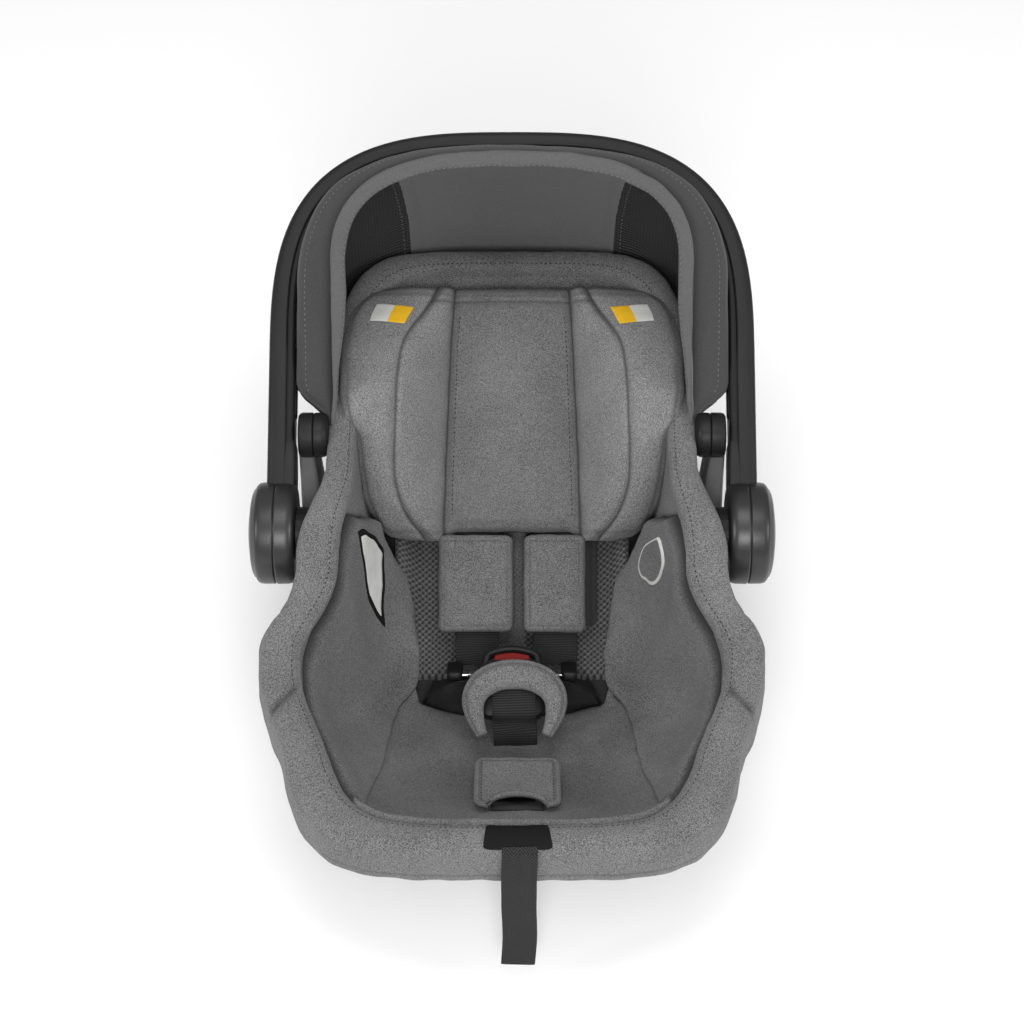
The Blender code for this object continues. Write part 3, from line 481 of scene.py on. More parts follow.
def rim_plan(angle, grow=0.0, scale=1.0):
    """Plan point of the rim: angle 90 degrees is the head end."""
    exponent = np.where(np.sin(angle) < 0.0, FOOT_SQUARENESS, HEAD_SQUARENESS)
    radius = (np.abs(np.cos(angle)) ** exponent + np.abs(np.sin(angle)) ** exponent) ** (-1.0 / exponent)
    y = PLAN_MIDDLE + (PLAN_HALF + grow) * radius * np.sin(angle)
    x = (half_width(y) + grow) * radius * np.cos(angle)
    return x * scale, PLAN_MIDDLE + (y - PLAN_MIDDLE) * scale


def floor_height(y):
    back = CREASE[2] + (y - CREASE[1]) * tan(BACK_ANGLE)
    pan = CREASE[2] - (y - CREASE[1]) * tan(PAN_ANGLE)
    blend = 0.022
    return 0.5 * (back + pan + np.sqrt((back - pan) ** 2 + blend ** 2)) - 0.5 * blend


def wall_point(angle, turn, raised):
    """Point on the cavity's wall: turn 0 at the rim, 90 degrees at the floor and more upon it."""
    grow = -WALL - raised
    past = np.maximum(turn - pi / 2.0, 0.0)
    up_to = np.minimum(turn, pi / 2.0)
    wide = np.maximum(np.cos(up_to), 0.0) ** CAVITY_POWER
    x, y = rim_plan(angle, grow, FLOOR_SHARE + (1.0 - FLOOR_SHARE) * wide - 0.25 * past)
    rim = rim_height(rim_plan(angle, grow)[1]) - RIM_DROP
    floor = floor_height(y) - PAD_DROP + raised
    return np.stack([x, y, rim - (rim - floor) * np.sin(up_to) ** CAVITY_POWER], -1)


def back_point(x, along, above):
    y = CREASE[1] + along * cos(BACK_ANGLE) - above * sin(BACK_ANGLE)
    z = CREASE[2] + along * sin(BACK_ANGLE) + above * cos(BACK_ANGLE)
    return np.stack(np.broadcast_arrays(x, y, z), -1)


def pan_point(x, along, above):
    y = CREASE[1] - along * cos(PAN_ANGLE) + above * sin(PAN_ANGLE)
    z = CREASE[2] + along * sin(PAN_ANGLE) + above * cos(PAN_ANGLE)
    return np.stack(np.broadcast_arrays(x, y, z), -1)


def swing_point(axis, tilt, x, along, across):
    """Point in a plane that hangs on an X axis and leans back by tilt."""
    return np.stack(np.broadcast_arrays(x, axis.y + along * np.sin(tilt) + across * np.cos(tilt),
                                        axis.z + along * np.cos(tilt) - across * np.sin(tilt)), -1)


def bow_outline(width, reach, straight, exponent, foot, count):
    """(x, along) points of a bow, evenly spaced from its left foot over the top to its right foot."""
    angle = np.linspace(0.0, pi / 2.0, 60)
    radius = (np.cos(angle) ** exponent + np.sin(angle) ** exponent) ** (-1.0 / exponent)
    x = np.concatenate([[width], width * radius * np.cos(angle)])
    along = np.concatenate([[foot], straight + (reach - straight) * radius * np.sin(angle)])
    run = run_along(np.stack([x, along], -1))
    share = np.linspace(-1.0, 1.0, count)
    place = (1.0 - np.abs(share)) * run[-1]
    return np.interp(place, run, x) * np.sign(-share), np.interp(place, run, along)


def line_normals(x, along):
    """Normals of a bow's outline, away from its middle."""
    dx = np.gradient(x)
    dy = np.gradient(along)
    size = np.hypot(dx, dy)
    nx, nl = -dy / size, dx / size
    out = np.sign(nx[0] * x[0])
    return nx * out, nl * out


# ---- meshes -------------------------------------------------------------------------------
def add_piece(name, verts, faces, look, body, sharp=None, attributes=None):
    verts = np.array(verts, float).reshape(-1, 3) + (0.0, SHIFT, 0.0)
    mesh = bpy.data.meshes.new(name)
    mesh.from_pydata(verts.tolist(), [], faces)
    mesh.update()
    mesh.shade_smooth()
    if sharp:
        mesh.set_sharp_from_angle(angle=radians(sharp))
    for key, values in (attributes or {}).items():
        values = np.array(values, np.float32)
        if values.size == len(verts):
            mesh.attributes.new(key, "FLOAT", "POINT").data.foreach_set("value", values.ravel())
        else:
            mesh.attributes.new(key, "FLOAT_VECTOR", "POINT").data.foreach_set("vector", values.ravel())
    mesh.materials.append(MATERIALS[look])
    obj = bpy.data.objects.new(name, mesh)
    bpy.context.collection.objects.link(obj)
    if body:
        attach(obj, body)
    return obj


def quads(rows, columns, start=0, flip=False, wrap=False):
    faces = []
    for r in range(rows - 1):
        for c in range(columns if wrap else columns - 1):
            n = (c + 1) % columns
            face = (r * columns + c, r * columns + n, (r + 1) * columns + n, (r + 1) * columns + c)
            face = tuple(start + i for i in face)
            faces.append(face[::-1] if flip else face)
    return faces


def grid_normals(points):
    n = np.cross(np.gradient(points, axis=1), np.gradient(points, axis=0))
    return n / np.maximum(np.linalg.norm(n, axis=-1, keepdims=True), 1e-9)


def upward_normals(points):
    """Normals of a grid, turned so that the one at its middle points up."""
    normal = grid_normals(points)
    return normal * np.sign(normal[points.shape[0] // 2, points.shape[1] // 2, 2])


def crumpled(points, normal, *waves):
    """Points moved along their normals by ripples, each given as height, size and seed."""
    height = sum(rise * ripple(points, size, seed) for rise, size, seed in waves)
    return points + normal * height[..., None]


def closed(loop):
    return np.concatenate([loop, loop[:1]])


def add_slab(name, top, bottom, look, body, shade=None, flip=False):
    """Closed piece between two grids; shade is painted shade that darkens the top."""
    rows, columns = top.shape[:2]
    half = rows * columns
    faces = quads(rows, columns, 0, flip) + quads(rows, columns, half, not flip)
    edge = [c for c in range(columns - 1)]
    edge += [r * columns + columns - 1 for r in range(rows - 1)]
    edge += [(rows - 1) * columns + c for c in range(columns - 1, 0, -1)]
    edge += [r * columns for r in range(rows - 1, 0, -1)]
    for a, b in zip(edge, edge[1:] + edge[:1]):
        face = (b, a, half + a, half + b)
        faces.append(face[::-1] if flip else face)
    verts = np.concatenate([top.reshape(-1, 3), bottom.reshape(-1, 3)])
    both = None
    if shade is not None:
        both = {"shade": np.concatenate([shade.ravel(), shade.ravel() * 0.0])}
    return add_piece(name, verts, faces, look, body, None, both)


def add_ring(name, loops, look, body, shade=None):
    """Tube-like piece of closed loops, itself closed into a ring of loops."""
    rows, columns = loops.shape[:2]
    faces = quads(rows, columns, 0, False, True)
    last = (rows - 1) * columns
    faces += [(last + c, last + (c + 1) % columns, (c + 1) % columns, c) for c in range(columns)]
    return add_piece(name, loops, faces, look, body, None, None if shade is None else {"shade": shade})


def add_loft(name, loops, look, body, sharp=None, attributes=None):
    """Closed loops joined in order, with both ends capped."""
    rows, columns = loops.shape[:2]
    faces = quads(rows, columns, 0, False, True)
    verts = loops.reshape(-1, 3)
    for k, flip in ((0, False), (rows - 1, True)):
        verts = np.vstack([verts, loops[k].mean(0)])
        for c in range(columns):
            face = (k * columns + c, len(verts) - 1, k * columns + (c + 1) % columns)
            faces.append(face if not flip else face[::-1])
    return add_piece(name, verts, faces, look, body, sharp, attributes)


def sweep_loops(path, section, up):
    """Loops of a section (n, 2) carried along a path, its second axis kept near up."""
    tangent = unit(np.gradient(path, axis=0))
    side = unit(np.cross(tangent, np.array(up, float)))
    rise = np.cross(side, tangent)
    return path[:, None] + side[:, None] * section[None, :, :1] + rise[:, None] * section[None, :, 1:]


def circle(radius, steps, squash=1.0):
    angle = angles(steps)
    return np.stack([radius * np.cos(angle), radius * squash * np.sin(angle)], -1)


def add_stitches(name, path, normals, look, body, pitch=0.0042, length=0.0026, width=0.00055):
    """Row of raised stitches along a path on a surface."""
    path = np.array(path, float)
    run = run_along(path)
    places = np.arange(pitch / 2.0, run[-1], pitch)
    centre = np.stack([np.interp(places, run, path[:, k]) for k in range(3)], -1)
    tangent = unit(np.stack([np.interp(places, run, np.gradient(path[:, k])) for k in range(3)], -1))
    normal = np.stack([np.interp(places, run, np.array(normals, float)[:, k]) for k in range(3)], -1)
    side = np.cross(tangent, normal)
    verts = []
    faces = []
    for c, t, n, s in zip(centre, tangent, normal, side):
        start = len(verts)
        verts.append(c - t * length / 2.0)
        for a in range(6):
            angle = a * pi / 3.0
            verts.append(c + s * width * cos(angle) + n * width * 0.8 * sin(angle))
        verts.append(c + t * length / 2.0)
        for a in range(6):
            b = (a + 1) % 6
            faces.append((start, start + 1 + b, start + 1 + a))
            faces.append((start + 7, start + 1 + a, start + 1 + b))
    return add_piece(name, verts, faces, look, body)


def add_turned(name, profile, sign, centre, look, body, steps):
    """Profile of (x, radius) on one side of the seat, turned about the X line through centre."""
    loops = np.array([[(sign * x, centre.y + r * cos(a), centre.z + r * sin(a)) for a in angles(steps)]
                      for x, r in profile])
    if sign * (profile[-1][0] - profile[0][0]) < 0.0:
        loops = loops[:, ::-1]
    return add_loft(name, loops, look, body, 30.0)


def add_strap(name, path, width, look, body, thickness=0.0016, rows=60, across=(1.0, 0.0, 0.0)):
    """Flat webbing along a smooth path, lying across it, with rounded edges."""
    path = smooth_curve(path, rows)
    section = []
    for a in angles(24):
        section.append((width / 2.0 * np.sign(cos(a)) * abs(cos(a)) ** 0.25, thickness / 2.0 * sin(a)))
    section = np.array(section)
    tangent = unit(np.gradient(path, axis=0))
    across = np.array(across, float)
    across = unit(across - tangent * (across * tangent).sum(1, keepdims=True))
    face = np.cross(across, tangent)
    loops = path[:, None] + across[:, None] * section[None, :, :1] + face[:, None] * section[None, :, 1:]
    run = run_along(path)
    strap = np.zeros(loops.shape)
    strap[..., 0] = section[None, :, 0]
    strap[..., 1] = run[:, None]
    strap = np.vstack([strap.reshape(-1, 3), strap[0].mean(0), strap[-1].mean(0)])
    return add_loft(name, loops, look, body, 50.0, {"strap": strap})


# ---- cover, bolsters, pan and knit back ----------------------------------------------------
# Places round the bucket are given as degrees away from the foot end, left negative.
SEAM_TURN = ((0, 5), (19, 6), (30, 9), (38, 13), (47, 14), (54, 12), (63, 12), (68, 8), (72, 3), (92, 3),
             (100, 20), (112, 62), (180, 66))
PAN_TURN = ((0, 5), (19, 6), (30, 9), (38, 13), (40, 16), (44, 44), (49, 66), (54, 78), (60, 88),
            (66, 93), (76, 96), (87, 93), (97, 80), (104, 66))
COVER_RAISE = ((0, 0.0060), (34, 0.0075), (46, 0.0115), (85, 0.0125), (100, 0.0060), (180, 0.0050))
EDGE_RAISE = 0.36                # height of a seam's edge as a share of the cover's
PAN_RAISE = 0.0165
PAN_LIMIT = 97.0
BOLSTER_RAISE = 0.0225
BOLSTER_FROM = 39.5
BOLSTER_TO = 103.0
HALVINGS = 26
INSIDE_STEPS = 24                # loops of the cover on the inside wall, over the lip and outside
LIP_STEPS = 13
OUTSIDE_STEPS = 12
OUTER_LIP = 0.0069
HEM_LOOPS = ((0.0058, -0.0003), (0.0036, 0.0006), (0.0014, -0.0004))       # out, then down
BACK_LOOPS = ((0.0009, 0.004), (0.0009, 0.016), (0.0006, 0.040))           # out, then up


def cover_raise(away):
    """How far the cover stands off the liner on the inside."""
    return along_lines(np.abs(away), COVER_RAISE)


def to_angle(away):
    """Plan angle of rim_plan for degrees away from the foot end."""
    return np.radians(270.0 + away)


def seam_turn(away):
    return np.radians(along_lines(np.abs(away), SEAM_TURN))


def pan_turn(away):
    return np.radians(along_lines(np.abs(away), PAN_TURN))


def even_places(start, stop, count):
    """Degrees away from the foot end, spaced evenly along the rim."""
    away = np.linspace(start, stop, 1200)
    x, y = rim_plan(to_angle(away), -0.004)
    run = run_along(np.stack([x, y], -1))
    return np.interp(np.linspace(0.0, run[-1], count), run, away)


def bowl_height(x, y, raised):
    """Height of the cavity's surface over a plan point: its share of the rim's plan, found by halving."""
    grow = -WALL - raised
    low = np.full(np.shape(x), FLOOR_SHARE)
    high = np.full(np.shape(x), 1.0)
    for _ in range(HALVINGS):
        share = (low + high) / 2.0
        y_rim = PLAN_MIDDLE + (y - PLAN_MIDDLE) / share
        exponent = np.where(y_rim < PLAN_MIDDLE, FOOT_SQUARENESS, HEAD_SQUARENESS)
        across = np.abs(x / (share * (half_width(y_rim) + grow))) ** exponent
        lengthwise = np.abs((y_rim - PLAN_MIDDLE) / (PLAN_HALF + grow)) ** exponent
        inside = across + lengthwise < 1.0
        high = np.where(inside, share, high)
        low = np.where(inside, low, share)
    wide = np.clip((high - FLOOR_SHARE) / (1.0 - FLOOR_SHARE), 0.0, 1.0)
    turn = np.arccos(wide ** (1.0 / CAVITY_POWER))
    rim = rim_height(PLAN_MIDDLE + (y - PLAN_MIDDLE) / high) - RIM_DROP
    floor = floor_height(y) - PAD_DROP + raised
    return rim - (rim - floor) * np.sin(turn) ** CAVITY_POWER


def skirt_depth(y):
    at_hub = smooth_step(y, -0.092, -0.078) * (1.0 - smooth_step(y, 0.045, 0.060))
    deep = 0.034 + 0.018 * smooth_step(y, -0.27, -0.18)
    return deep - (deep - 0.005) * at_hub


def cover_loops(places):
    """Grid of the cover: columns run from the inside seam over the rim, round the hem and back."""
    angle = to_angle(places)
    y_rim = rim_plan(angle)[1]
    top = rim_height(y_rim)
    slim = 1.0 - 0.55 * smooth_step(y_rim, -0.09, 0.0)
    skirt = skirt_depth(y_rim)
    seam = seam_turn(places)
    columns = []
    # marks hold painted shade: in the inside seam, along the skirt's sewn line and along the hem
    marks = []

    def at(out, up, mark=0.0):
        x, y = rim_plan(angle, np.where(np.array(out) > 0.001, out * slim, out))
        columns.append(np.stack([x, y, top + up], -1))
        marks.append(mark + 0.0 * angle)

    for k in range(INSIDE_STEPS):
        share = (k / (INSIDE_STEPS - 1)) ** 1.7
        reach = np.maximum(seam, 0.02) * share * 0.11
        raised = cover_raise(places) * (EDGE_RAISE + (1.0 - EDGE_RAISE) * roll(reach + 0.0004, 0.006))
        columns.append(wall_point(angle, seam * (1.0 - share), raised))
        # painted shade in the inside seam
        marks.append(valley(reach, 0.0017))
    inner_lip = -WALL - cover_raise(places)
    for k in range(1, LIP_STEPS + 1):
        around = pi * (1.0 - k / (LIP_STEPS + 1.0))
        at((inner_lip + OUTER_LIP) / 2.0 + (OUTER_LIP - inner_lip) / 2.0 * cos(around),
           -0.002 + 0.0108 * sin(around) ** 0.80)
    for k in range(OUTSIDE_STEPS):
        share = k / (OUTSIDE_STEPS - 1)
        # painted shade along the skirt's sewn line
        sewn = 0.55 * valley((1.0 - share) * skirt - 0.0085, 0.0016) * (skirt > 0.02)
        at(0.0066 + 0.0013 * sin(pi * share), -0.003 - (skirt - 0.004) * share, sewn)
    for out, down in HEM_LOOPS:
        # painted shade along the hem
        at(out, -skirt - down, 0.6)
    for out, up in BACK_LOOPS:
        at(out, -np.maximum(skirt - up, 0.004))
    for out in (-0.001, -0.0140):
        at(out, 0.0015)
    for share in (0.2, 0.6, 1.0):
        columns.append(wall_point(angle, seam * share, 0.0006))
        marks.append(0.0 * angle)
    return np.stack(columns, 1), np.stack(marks, 1), skirt


def add_cover():
    """Elasticated cover: up the inside wall from its seam, over the rim and down to a gathered hem."""
    places = even_places(-180.0, 180.0, 721)[:-1]
    points, shade, skirt = cover_loops(places)
    normal = grid_normals(closed(points))[:-1]
    skirt_from = INSIDE_STEPS + LIP_STEPS
    skirt_to = skirt_from + OUTSIDE_STEPS + 2
    wrinkle = 0.0005 * ripple(points, 0.028, 1) + 0.00035 * ripple(points, 0.009, 2)
    near_hem = np.zeros(points.shape[1])
    near_hem[skirt_from:skirt_to] = np.linspace(0.0, 1.0, skirt_to - skirt_from) ** 1.6
    gather = np.sin(np.arange(len(places)) * pi / 7.0 + 2.0 * ripple(points, 0.05, 3)[:, 0])
    deep_skirt = smooth_step(skirt, 0.02, 0.034)
    wrinkle = wrinkle + 0.0005 * near_hem[None, :] * (gather * deep_skirt)[:, None]
    flap_line = flap_groove(points)
    wrinkle = wrinkle - 0.0030 * flap_line
    # painted shade in the flap's fold and arc seams
    shade = np.maximum(shade, 0.8 * flap_line)
    wrinkle[:, skirt_to:] = 0.0
    side = np.sign(normal[:, INSIDE_STEPS + 5, 2])
    points = points + normal * (wrinkle * side[:, None])[..., None]
    cover = add_ring("seat_cover", points, "melange", "root", shade)
    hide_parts("cover_rim")
    lip = INSIDE_STEPS + 3
    add_stitches("cover_stitch_lip", closed(points[:, lip]), closed(normal[:, lip]) * side[0],
                 "dark_thread", "root")
    return points, normal * side[:, None, None]


FLAP_FOLD = ((0.1740, -0.0960, 0.238), (0.1874, -0.1163, 0.2305), (0.1925, -0.1240, 0.2252),
             (0.1990, -0.1310, 0.205), (0.2030, -0.1360, 0.180))
FLAP_ARC = ((0.1680, -0.1720, 0.2110), (0.1773, -0.1892, 0.2052), (0.1902, -0.2028, 0.2031),
            (0.1945, -0.2061, 0.1977), (0.2000, -0.2150, 0.1800), (0.2020, -0.2350, 0.1550))


def flap_groove(points):
    """Seams of the side flaps: a fold beside the hub and an arc on the thigh."""
    place = points.copy()
    place[..., 0] = np.abs(place[..., 0])
    groove = np.zeros(points.shape[:2])
    for line in (FLAP_FOLD, FLAP_ARC):
        curve = smooth_curve(line, 40)
        far = np.full(points.shape[:2], 9.0)
        for spot in curve:
            far = np.minimum(far, np.linalg.norm(place - spot, axis=-1))
        groove = np.maximum(groove, valley(far, 0.0030))
    return groove


def add_bolster(side, sign):
    """Padded side bolster between the cover's seam and the pan."""
    rows, columns = 110, 40
    places = even_places(BOLSTER_FROM, BOLSTER_TO, rows)
    angle = to_angle(sign * places)
    high = seam_turn(places)
    low = np.maximum(pan_turn(places), high + 0.05)
    top = np.zeros((rows, columns, 3))
    under = np.zeros((rows, columns, 3))
    shade = np.zeros((rows, columns))
    for c in range(columns):
        share = 0.5 - 0.5 * cos(pi * c / (columns - 1))
        turn = high + (low - high) * share
        across = (low - high) * 0.085
        near = np.minimum(share, 1.0 - share) * across
        ends = np.minimum((places - BOLSTER_FROM) * 0.0028, (BOLSTER_TO - places) * 0.004)
        near = np.minimum(near, np.maximum(ends, 0.0))
        plump = 0.62 * roll(near + 0.0002, 0.006) + 0.38 * roll(near, 0.030)
        edge = EDGE_RAISE * cover_raise(places)
        raised = edge + (BOLSTER_RAISE - edge) * plump
        top[:, c] = wall_point(angle, turn, raised)
        under[:, c] = wall_point(angle, turn, 0.0035)
        # painted shade along the bolster's edges, where it meets the cover and the pan
        shade[:, c] = valley(near, 0.0026)
    normal = grid_normals(top)
    if normal[rows // 2, columns // 2, 0] * sign > 0.0:
        normal = -normal
    top = crumpled(top, normal, (0.0011, 0.024, 5), (0.0005, 0.008, 6))
    # the bolster takes the painted-shade copy of the melange
    bolster = add_slab("side_bolster_" + side + "_padded", top, under, "melange_painted_shade", "root", shade,
                       sign < 0)
    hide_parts("side_bolster_" + side)
    return top, normal


def add_pan():
    """Pan of the cover: from its front seam down over the thigh area to the crease."""
    columns, rows = 181, 80
    places = even_places(-PAN_LIMIT, PAN_LIMIT, columns)
    angle = to_angle(places)
    edge = wall_point(angle, pan_turn(places), 0.0040)
    x_end = np.interp(places, (-PAN_LIMIT, -60, -20, 20, 60, PAN_LIMIT),
                      (-0.088, -0.072, -0.030, 0.030, 0.072, 0.088))
    y_end = -0.097 - 0.014 * (1.0 - smooth_step(np.abs(x_end), 0.030, 0.085))
    top = np.zeros((rows, columns, 3))
    shade = np.zeros((rows, columns))
    for r in range(rows):
        share = 0.5 - 0.5 * cos(pi * (r / (rows - 1)) ** 0.85)
        x = edge[:, 0] * (1.0 - share) + x_end * share
        y = edge[:, 1] * (1.0 - share) + y_end * share
        near = np.minimum(np.hypot(x - edge[:, 0], y - edge[:, 1]), np.hypot(x - x_end, y - y_end))
        near = near + 0.0003
        raised = 0.0035 + (PAN_RAISE - 0.0035) * (0.65 * roll(near, 0.007) + 0.35 * roll(near, 0.030))
        top[r] = np.stack([x, y, bowl_height(x, y, raised)], -1)
        # painted shade along the pan's edges
        shade[r] = valley(near, 0.0026)
    pull = 0.0016 * ripple(top * (1.0, 0.45, 1.0), 0.020, 8) + 0.0009 * ripple(top, 0.011, 9)
    calm = 1.0 - valley(np.hypot(top[..., 0], top[..., 1] + 0.19), 0.03)
    top[..., 2] += pull * calm * (1.0 - shade)
    along = -(top[..., 1] - CREASE[1]) / cos(PAN_ANGLE)
    # painted shade in the crotch strap's slot
    crotch_slot = valley(np.hypot(top[..., 0] / 1.6, along - 0.086), 0.014)
    shade = np.maximum(shade, 0.5 * crotch_slot)
    under = top.copy()
    under[..., 2] = np.minimum(top[..., 2] - 0.0025, bowl_height(top[..., 0], top[..., 1], 0.0045))
    # the pan takes the painted-shade copy of the melange
    pan = add_slab("seat_pan_cloth", top, under, "melange_painted_shade", "root", shade)
    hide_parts("seat_pan_pad")


def knit_wave(x, along, pitch_across, pitch_along):
    return np.cos(2.0 * pi * along / pitch_along) * np.cos(2.0 * pi * x / pitch_across)


def add_knit_back():
    """Open spacer knit on the back, with painted shade in its hollows, and a lighter strip between the
    harness pads where less shade is painted.
    """
    rows, columns = 250, 190
    along = np.linspace(0.020, 0.236, rows)[:, None]
    x = np.linspace(-0.103, 0.103, columns)[None, :] + 0.0 * along
    y = CREASE[1] + along * cos(BACK_ANGLE) + 0.0 * x
    raised = 0.0045 + 0.0115 * roll(np.minimum(0.103 - np.abs(x), along - 0.0195 + 0.0 * x) + 0.0003, 0.008)
    z = bowl_height(x, y, raised)
    fine = smooth_step(0.013 - np.abs(x), 0.0, 0.003)
    wave = knit_wave(x, along, 0.0058, 0.0052) * (1.0 - fine)
    wave = wave + 0.5 * knit_wave(x, along, 0.0045, 0.0045) * fine
    z = z + 0.0011 * wave + 0.0010 * ripple(np.stack([x, y, z], -1), 0.03, 11)
    top = np.stack([x, y, z], -1)
    under = top.copy()
    under[..., 2] = np.minimum(top[..., 2] - 0.002, bowl_height(x, y, 0.0035 + 0.0 * x))
    # painted shade in the knit's hollows, less in the fine strip, plus an even darkening of the whole knit
    shade = 0.95 * smooth_step(-wave, -0.25, 0.45) * (1.0 - 0.6 * fine) + 0.12
    knit = add_slab("knit_back", top, under, "knit", "root", shade)
    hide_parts("back_pad")


def add_crease_shade_sheet():
    """Dark loose sheet of painted shade in the crease between the knit back and the pan."""
    rows, columns = 60, 120
    y = np.linspace(-0.178, -0.052, rows)[:, None]
    x = np.linspace(-0.112, 0.112, columns)[None, :] + 0.0 * y
    y = y + 0.0 * x
    z = bowl_height(x, y, 0.0075)
    points = np.stack([x, y, z], -1)
    z = z + 0.0028 * ripple(points, 0.017, 13) + 0.0012 * ripple(points, 0.007, 14)
    top = np.stack([x, y, z], -1)
    under = np.stack([x, y, bowl_height(x, y, 0.0015)], -1)
    # painted shade: a dark sheet that fills the crease
    lining = add_slab("crease_shade_sheet", top, under, "dark_cloth_and_painted_shade", "root")


# ---- headrest -----------------------------------------------------------------------------
HEADREST_FOOT = 0.1325
HEADREST_TOP = 0.354
CENTRE_SHARE = 0.38              # columns of the centre panel, then of the inner wing panel
WING_SHARE = 0.70
CENTRE_RISE = 0.0175
HEADREST_EDGE = ((0.1325, 0.086), (0.136, 0.106), (0.146, 0.120), (0.168, 0.129), (0.194, 0.133),
                 (0.215, 0.1350), (0.235, 0.143), (0.255, 0.147), (0.299, 0.148), (0.328, 0.143),
                 (0.340, 0.136), (0.348, 0.126), (0.354, 0.112))
WING_SEAM = ((0.1325, 0.072), (0.146, 0.087), (0.163, 0.096), (0.185, 0.101), (0.220, 0.100), (0.272, 0.098),
             (0.300, 0.095), (0.316, 0.087), (0.334, 0.074), (0.354, 0.064))
CENTRE_SEAM = ((0.1325, 0.060), (0.200, 0.058), (0.300, 0.054), (0.352, 0.050))
SEAM_RISE = ((0.1325, 0.021), (0.146, 0.036), (0.168, 0.054), (0.194, 0.068), (0.215, 0.078), (0.235, 0.083),
             (0.255, 0.082), (0.299, 0.062), (0.320, 0.045), (0.340, 0.028), (0.352, 0.022))
EDGE_RISE = ((0.1325, 0.014), (0.146, 0.028), (0.168, 0.046), (0.194, 0.064), (0.215, 0.078), (0.235, 0.093),
             (0.255, 0.087), (0.299, 0.058), (0.334, 0.031), (0.352, 0.014))


def soft_table(values, points):
    """Tabled value, softened over a few millimetres."""
    steps = (-0.008, -0.004, 0.0, 0.004, 0.008)
    return sum(along_lines(values + s, points) for s in steps) / len(steps)


def add_headrest():
    """Headrest: a flat centre panel between two raised wings whose outer panels roll back to the rim."""
    rows, half = 120, 66
    share_up = np.linspace(0.0, 1.0, rows)[:, None]
    share = np.linspace(-1.0, 1.0, 2 * half + 1)[None, :]
    size = np.abs(share)
    across = smooth_step(size, 0.30, 0.42) - 0.0 * size
    foot = HEADREST_FOOT + 0.0080 * (1.0 - across)
    along = foot + (HEADREST_TOP - foot) * share_up
    level = HEADREST_FOOT + (HEADREST_TOP - HEADREST_FOOT) * share_up + 0.0 * size
    x_edge = along_lines(level, HEADREST_EDGE)
    x_seam = np.minimum(soft_table(level, WING_SEAM), x_edge - 0.010)
    x_centre = soft_table(level, CENTRE_SEAM)
    to_centre = size / CENTRE_SHARE
    to_seam = np.clip((size - CENTRE_SHARE) / (WING_SHARE - CENTRE_SHARE), 0.0, 1.0)
    to_edge = np.clip((size - WING_SHARE) / (1.0 - WING_SHARE), 0.0, 1.0)
    x = np.where(size < CENTRE_SHARE, x_centre * to_centre,
                 x_centre + (x_seam - x_centre) * to_seam + (x_edge - x_seam) * to_edge)
    rise_seam = soft_table(level, SEAM_RISE)
    rise_edge = soft_table(level, EDGE_RISE)
    above = CENTRE_RISE + 0.0040 * (1.0 - np.clip(to_centre, 0.0, 1.0) ** 2)
    above = above + (rise_seam - CENTRE_RISE) * to_seam ** 0.95 + (rise_edge - rise_seam) * to_edge
    above = above + 0.0085 * np.sin(pi * to_seam) ** 0.8 + 0.0060 * np.sin(pi * to_edge) ** 0.8
    from_centre = np.abs(x - x_centre)
    from_seam = np.abs(x - x_seam)
    from_top = HEADREST_TOP - along
    from_foot = along - foot
    from_edge = np.minimum(np.maximum(x_edge - x, 0.0), np.minimum(from_top, from_foot))
    inner = x < x_seam + 0.002
    roll_seam = np.abs(from_top - 0.0125)
    above = above - 0.0050 * valley(from_centre, 0.0036) - 0.0026 * valley(from_seam, 0.0028)
    above = above - 0.0022 * valley(roll_seam, 0.0024) * inner
    above = above - 0.0135 * (1.0 - roll(from_edge + 0.0003, 0.0120))
    above = above - 0.0010 * valley(from_edge - 0.0066, 0.0012)
    points = back_point(x * np.sign(share), along, above)
    normal = upward_normals(points)
    points = crumpled(points, normal, (0.0012, 0.026, 21), (0.0005, 0.008, 22))
    # painted shade in the seams, along the top roll's seam and in the line inside the edge
    shade = np.maximum(valley(from_centre, 0.0016), 0.9 * valley(from_seam, 0.0012))
    shade = np.maximum(shade, 0.7 * valley(roll_seam, 0.0013) * inner)
    shade = np.maximum(shade, 0.6 * valley(from_edge - 0.0066, 0.0010))
    under = back_point(x * np.sign(share) * 0.985, along, np.maximum(above - 0.012, 0.0025))
    # painted shade: the centre panel is darker, as shade from the canopy and the raised wings
    shade = np.maximum(shade, 0.34 * smooth_step(x_centre - x, -0.002, 0.010))
    # the headrest takes the painted-light copy of the melange
    pad = add_slab("headrest_pad", points, under, "melange_painted_light", "headrest", shade)
    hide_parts("headrest_centre_pad", "headrest_wing_left", "headrest_wing_right")
    rim_in = slice(3, rows - 3)
    backing = under[rim_in, 5:-5] - normal[rim_in, 5:-5] * 0.0004
    shell = add_slab("headrest_back_shell", backing, backing - normal[rim_in, 5:-5] * 0.0022, "black",
                     "headrest")
    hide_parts("headrest_shell")
    for side, sign in SIDES.items():
        line = half + int(sign) * int(round(CENTRE_SHARE * half) - 3)
        add_stitches("headrest_stitch_" + side, points[8:-14, line], normal[8:-14, line], "dark_thread",
                     "headrest")
    add_headrest_lever()
    return points, normal


def add_headrest_lever():
    """Height lever: a pull that stands just out from behind the headrest's top roll."""
    lever = add_plate("headrest_pull", back_point, (0.0, 0.3410, 0.0020), (0.060, 0.020), 0.0100, 0.005,
                      "black", "headrest_lever", 0.0025)
    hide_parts("headrest_lever")


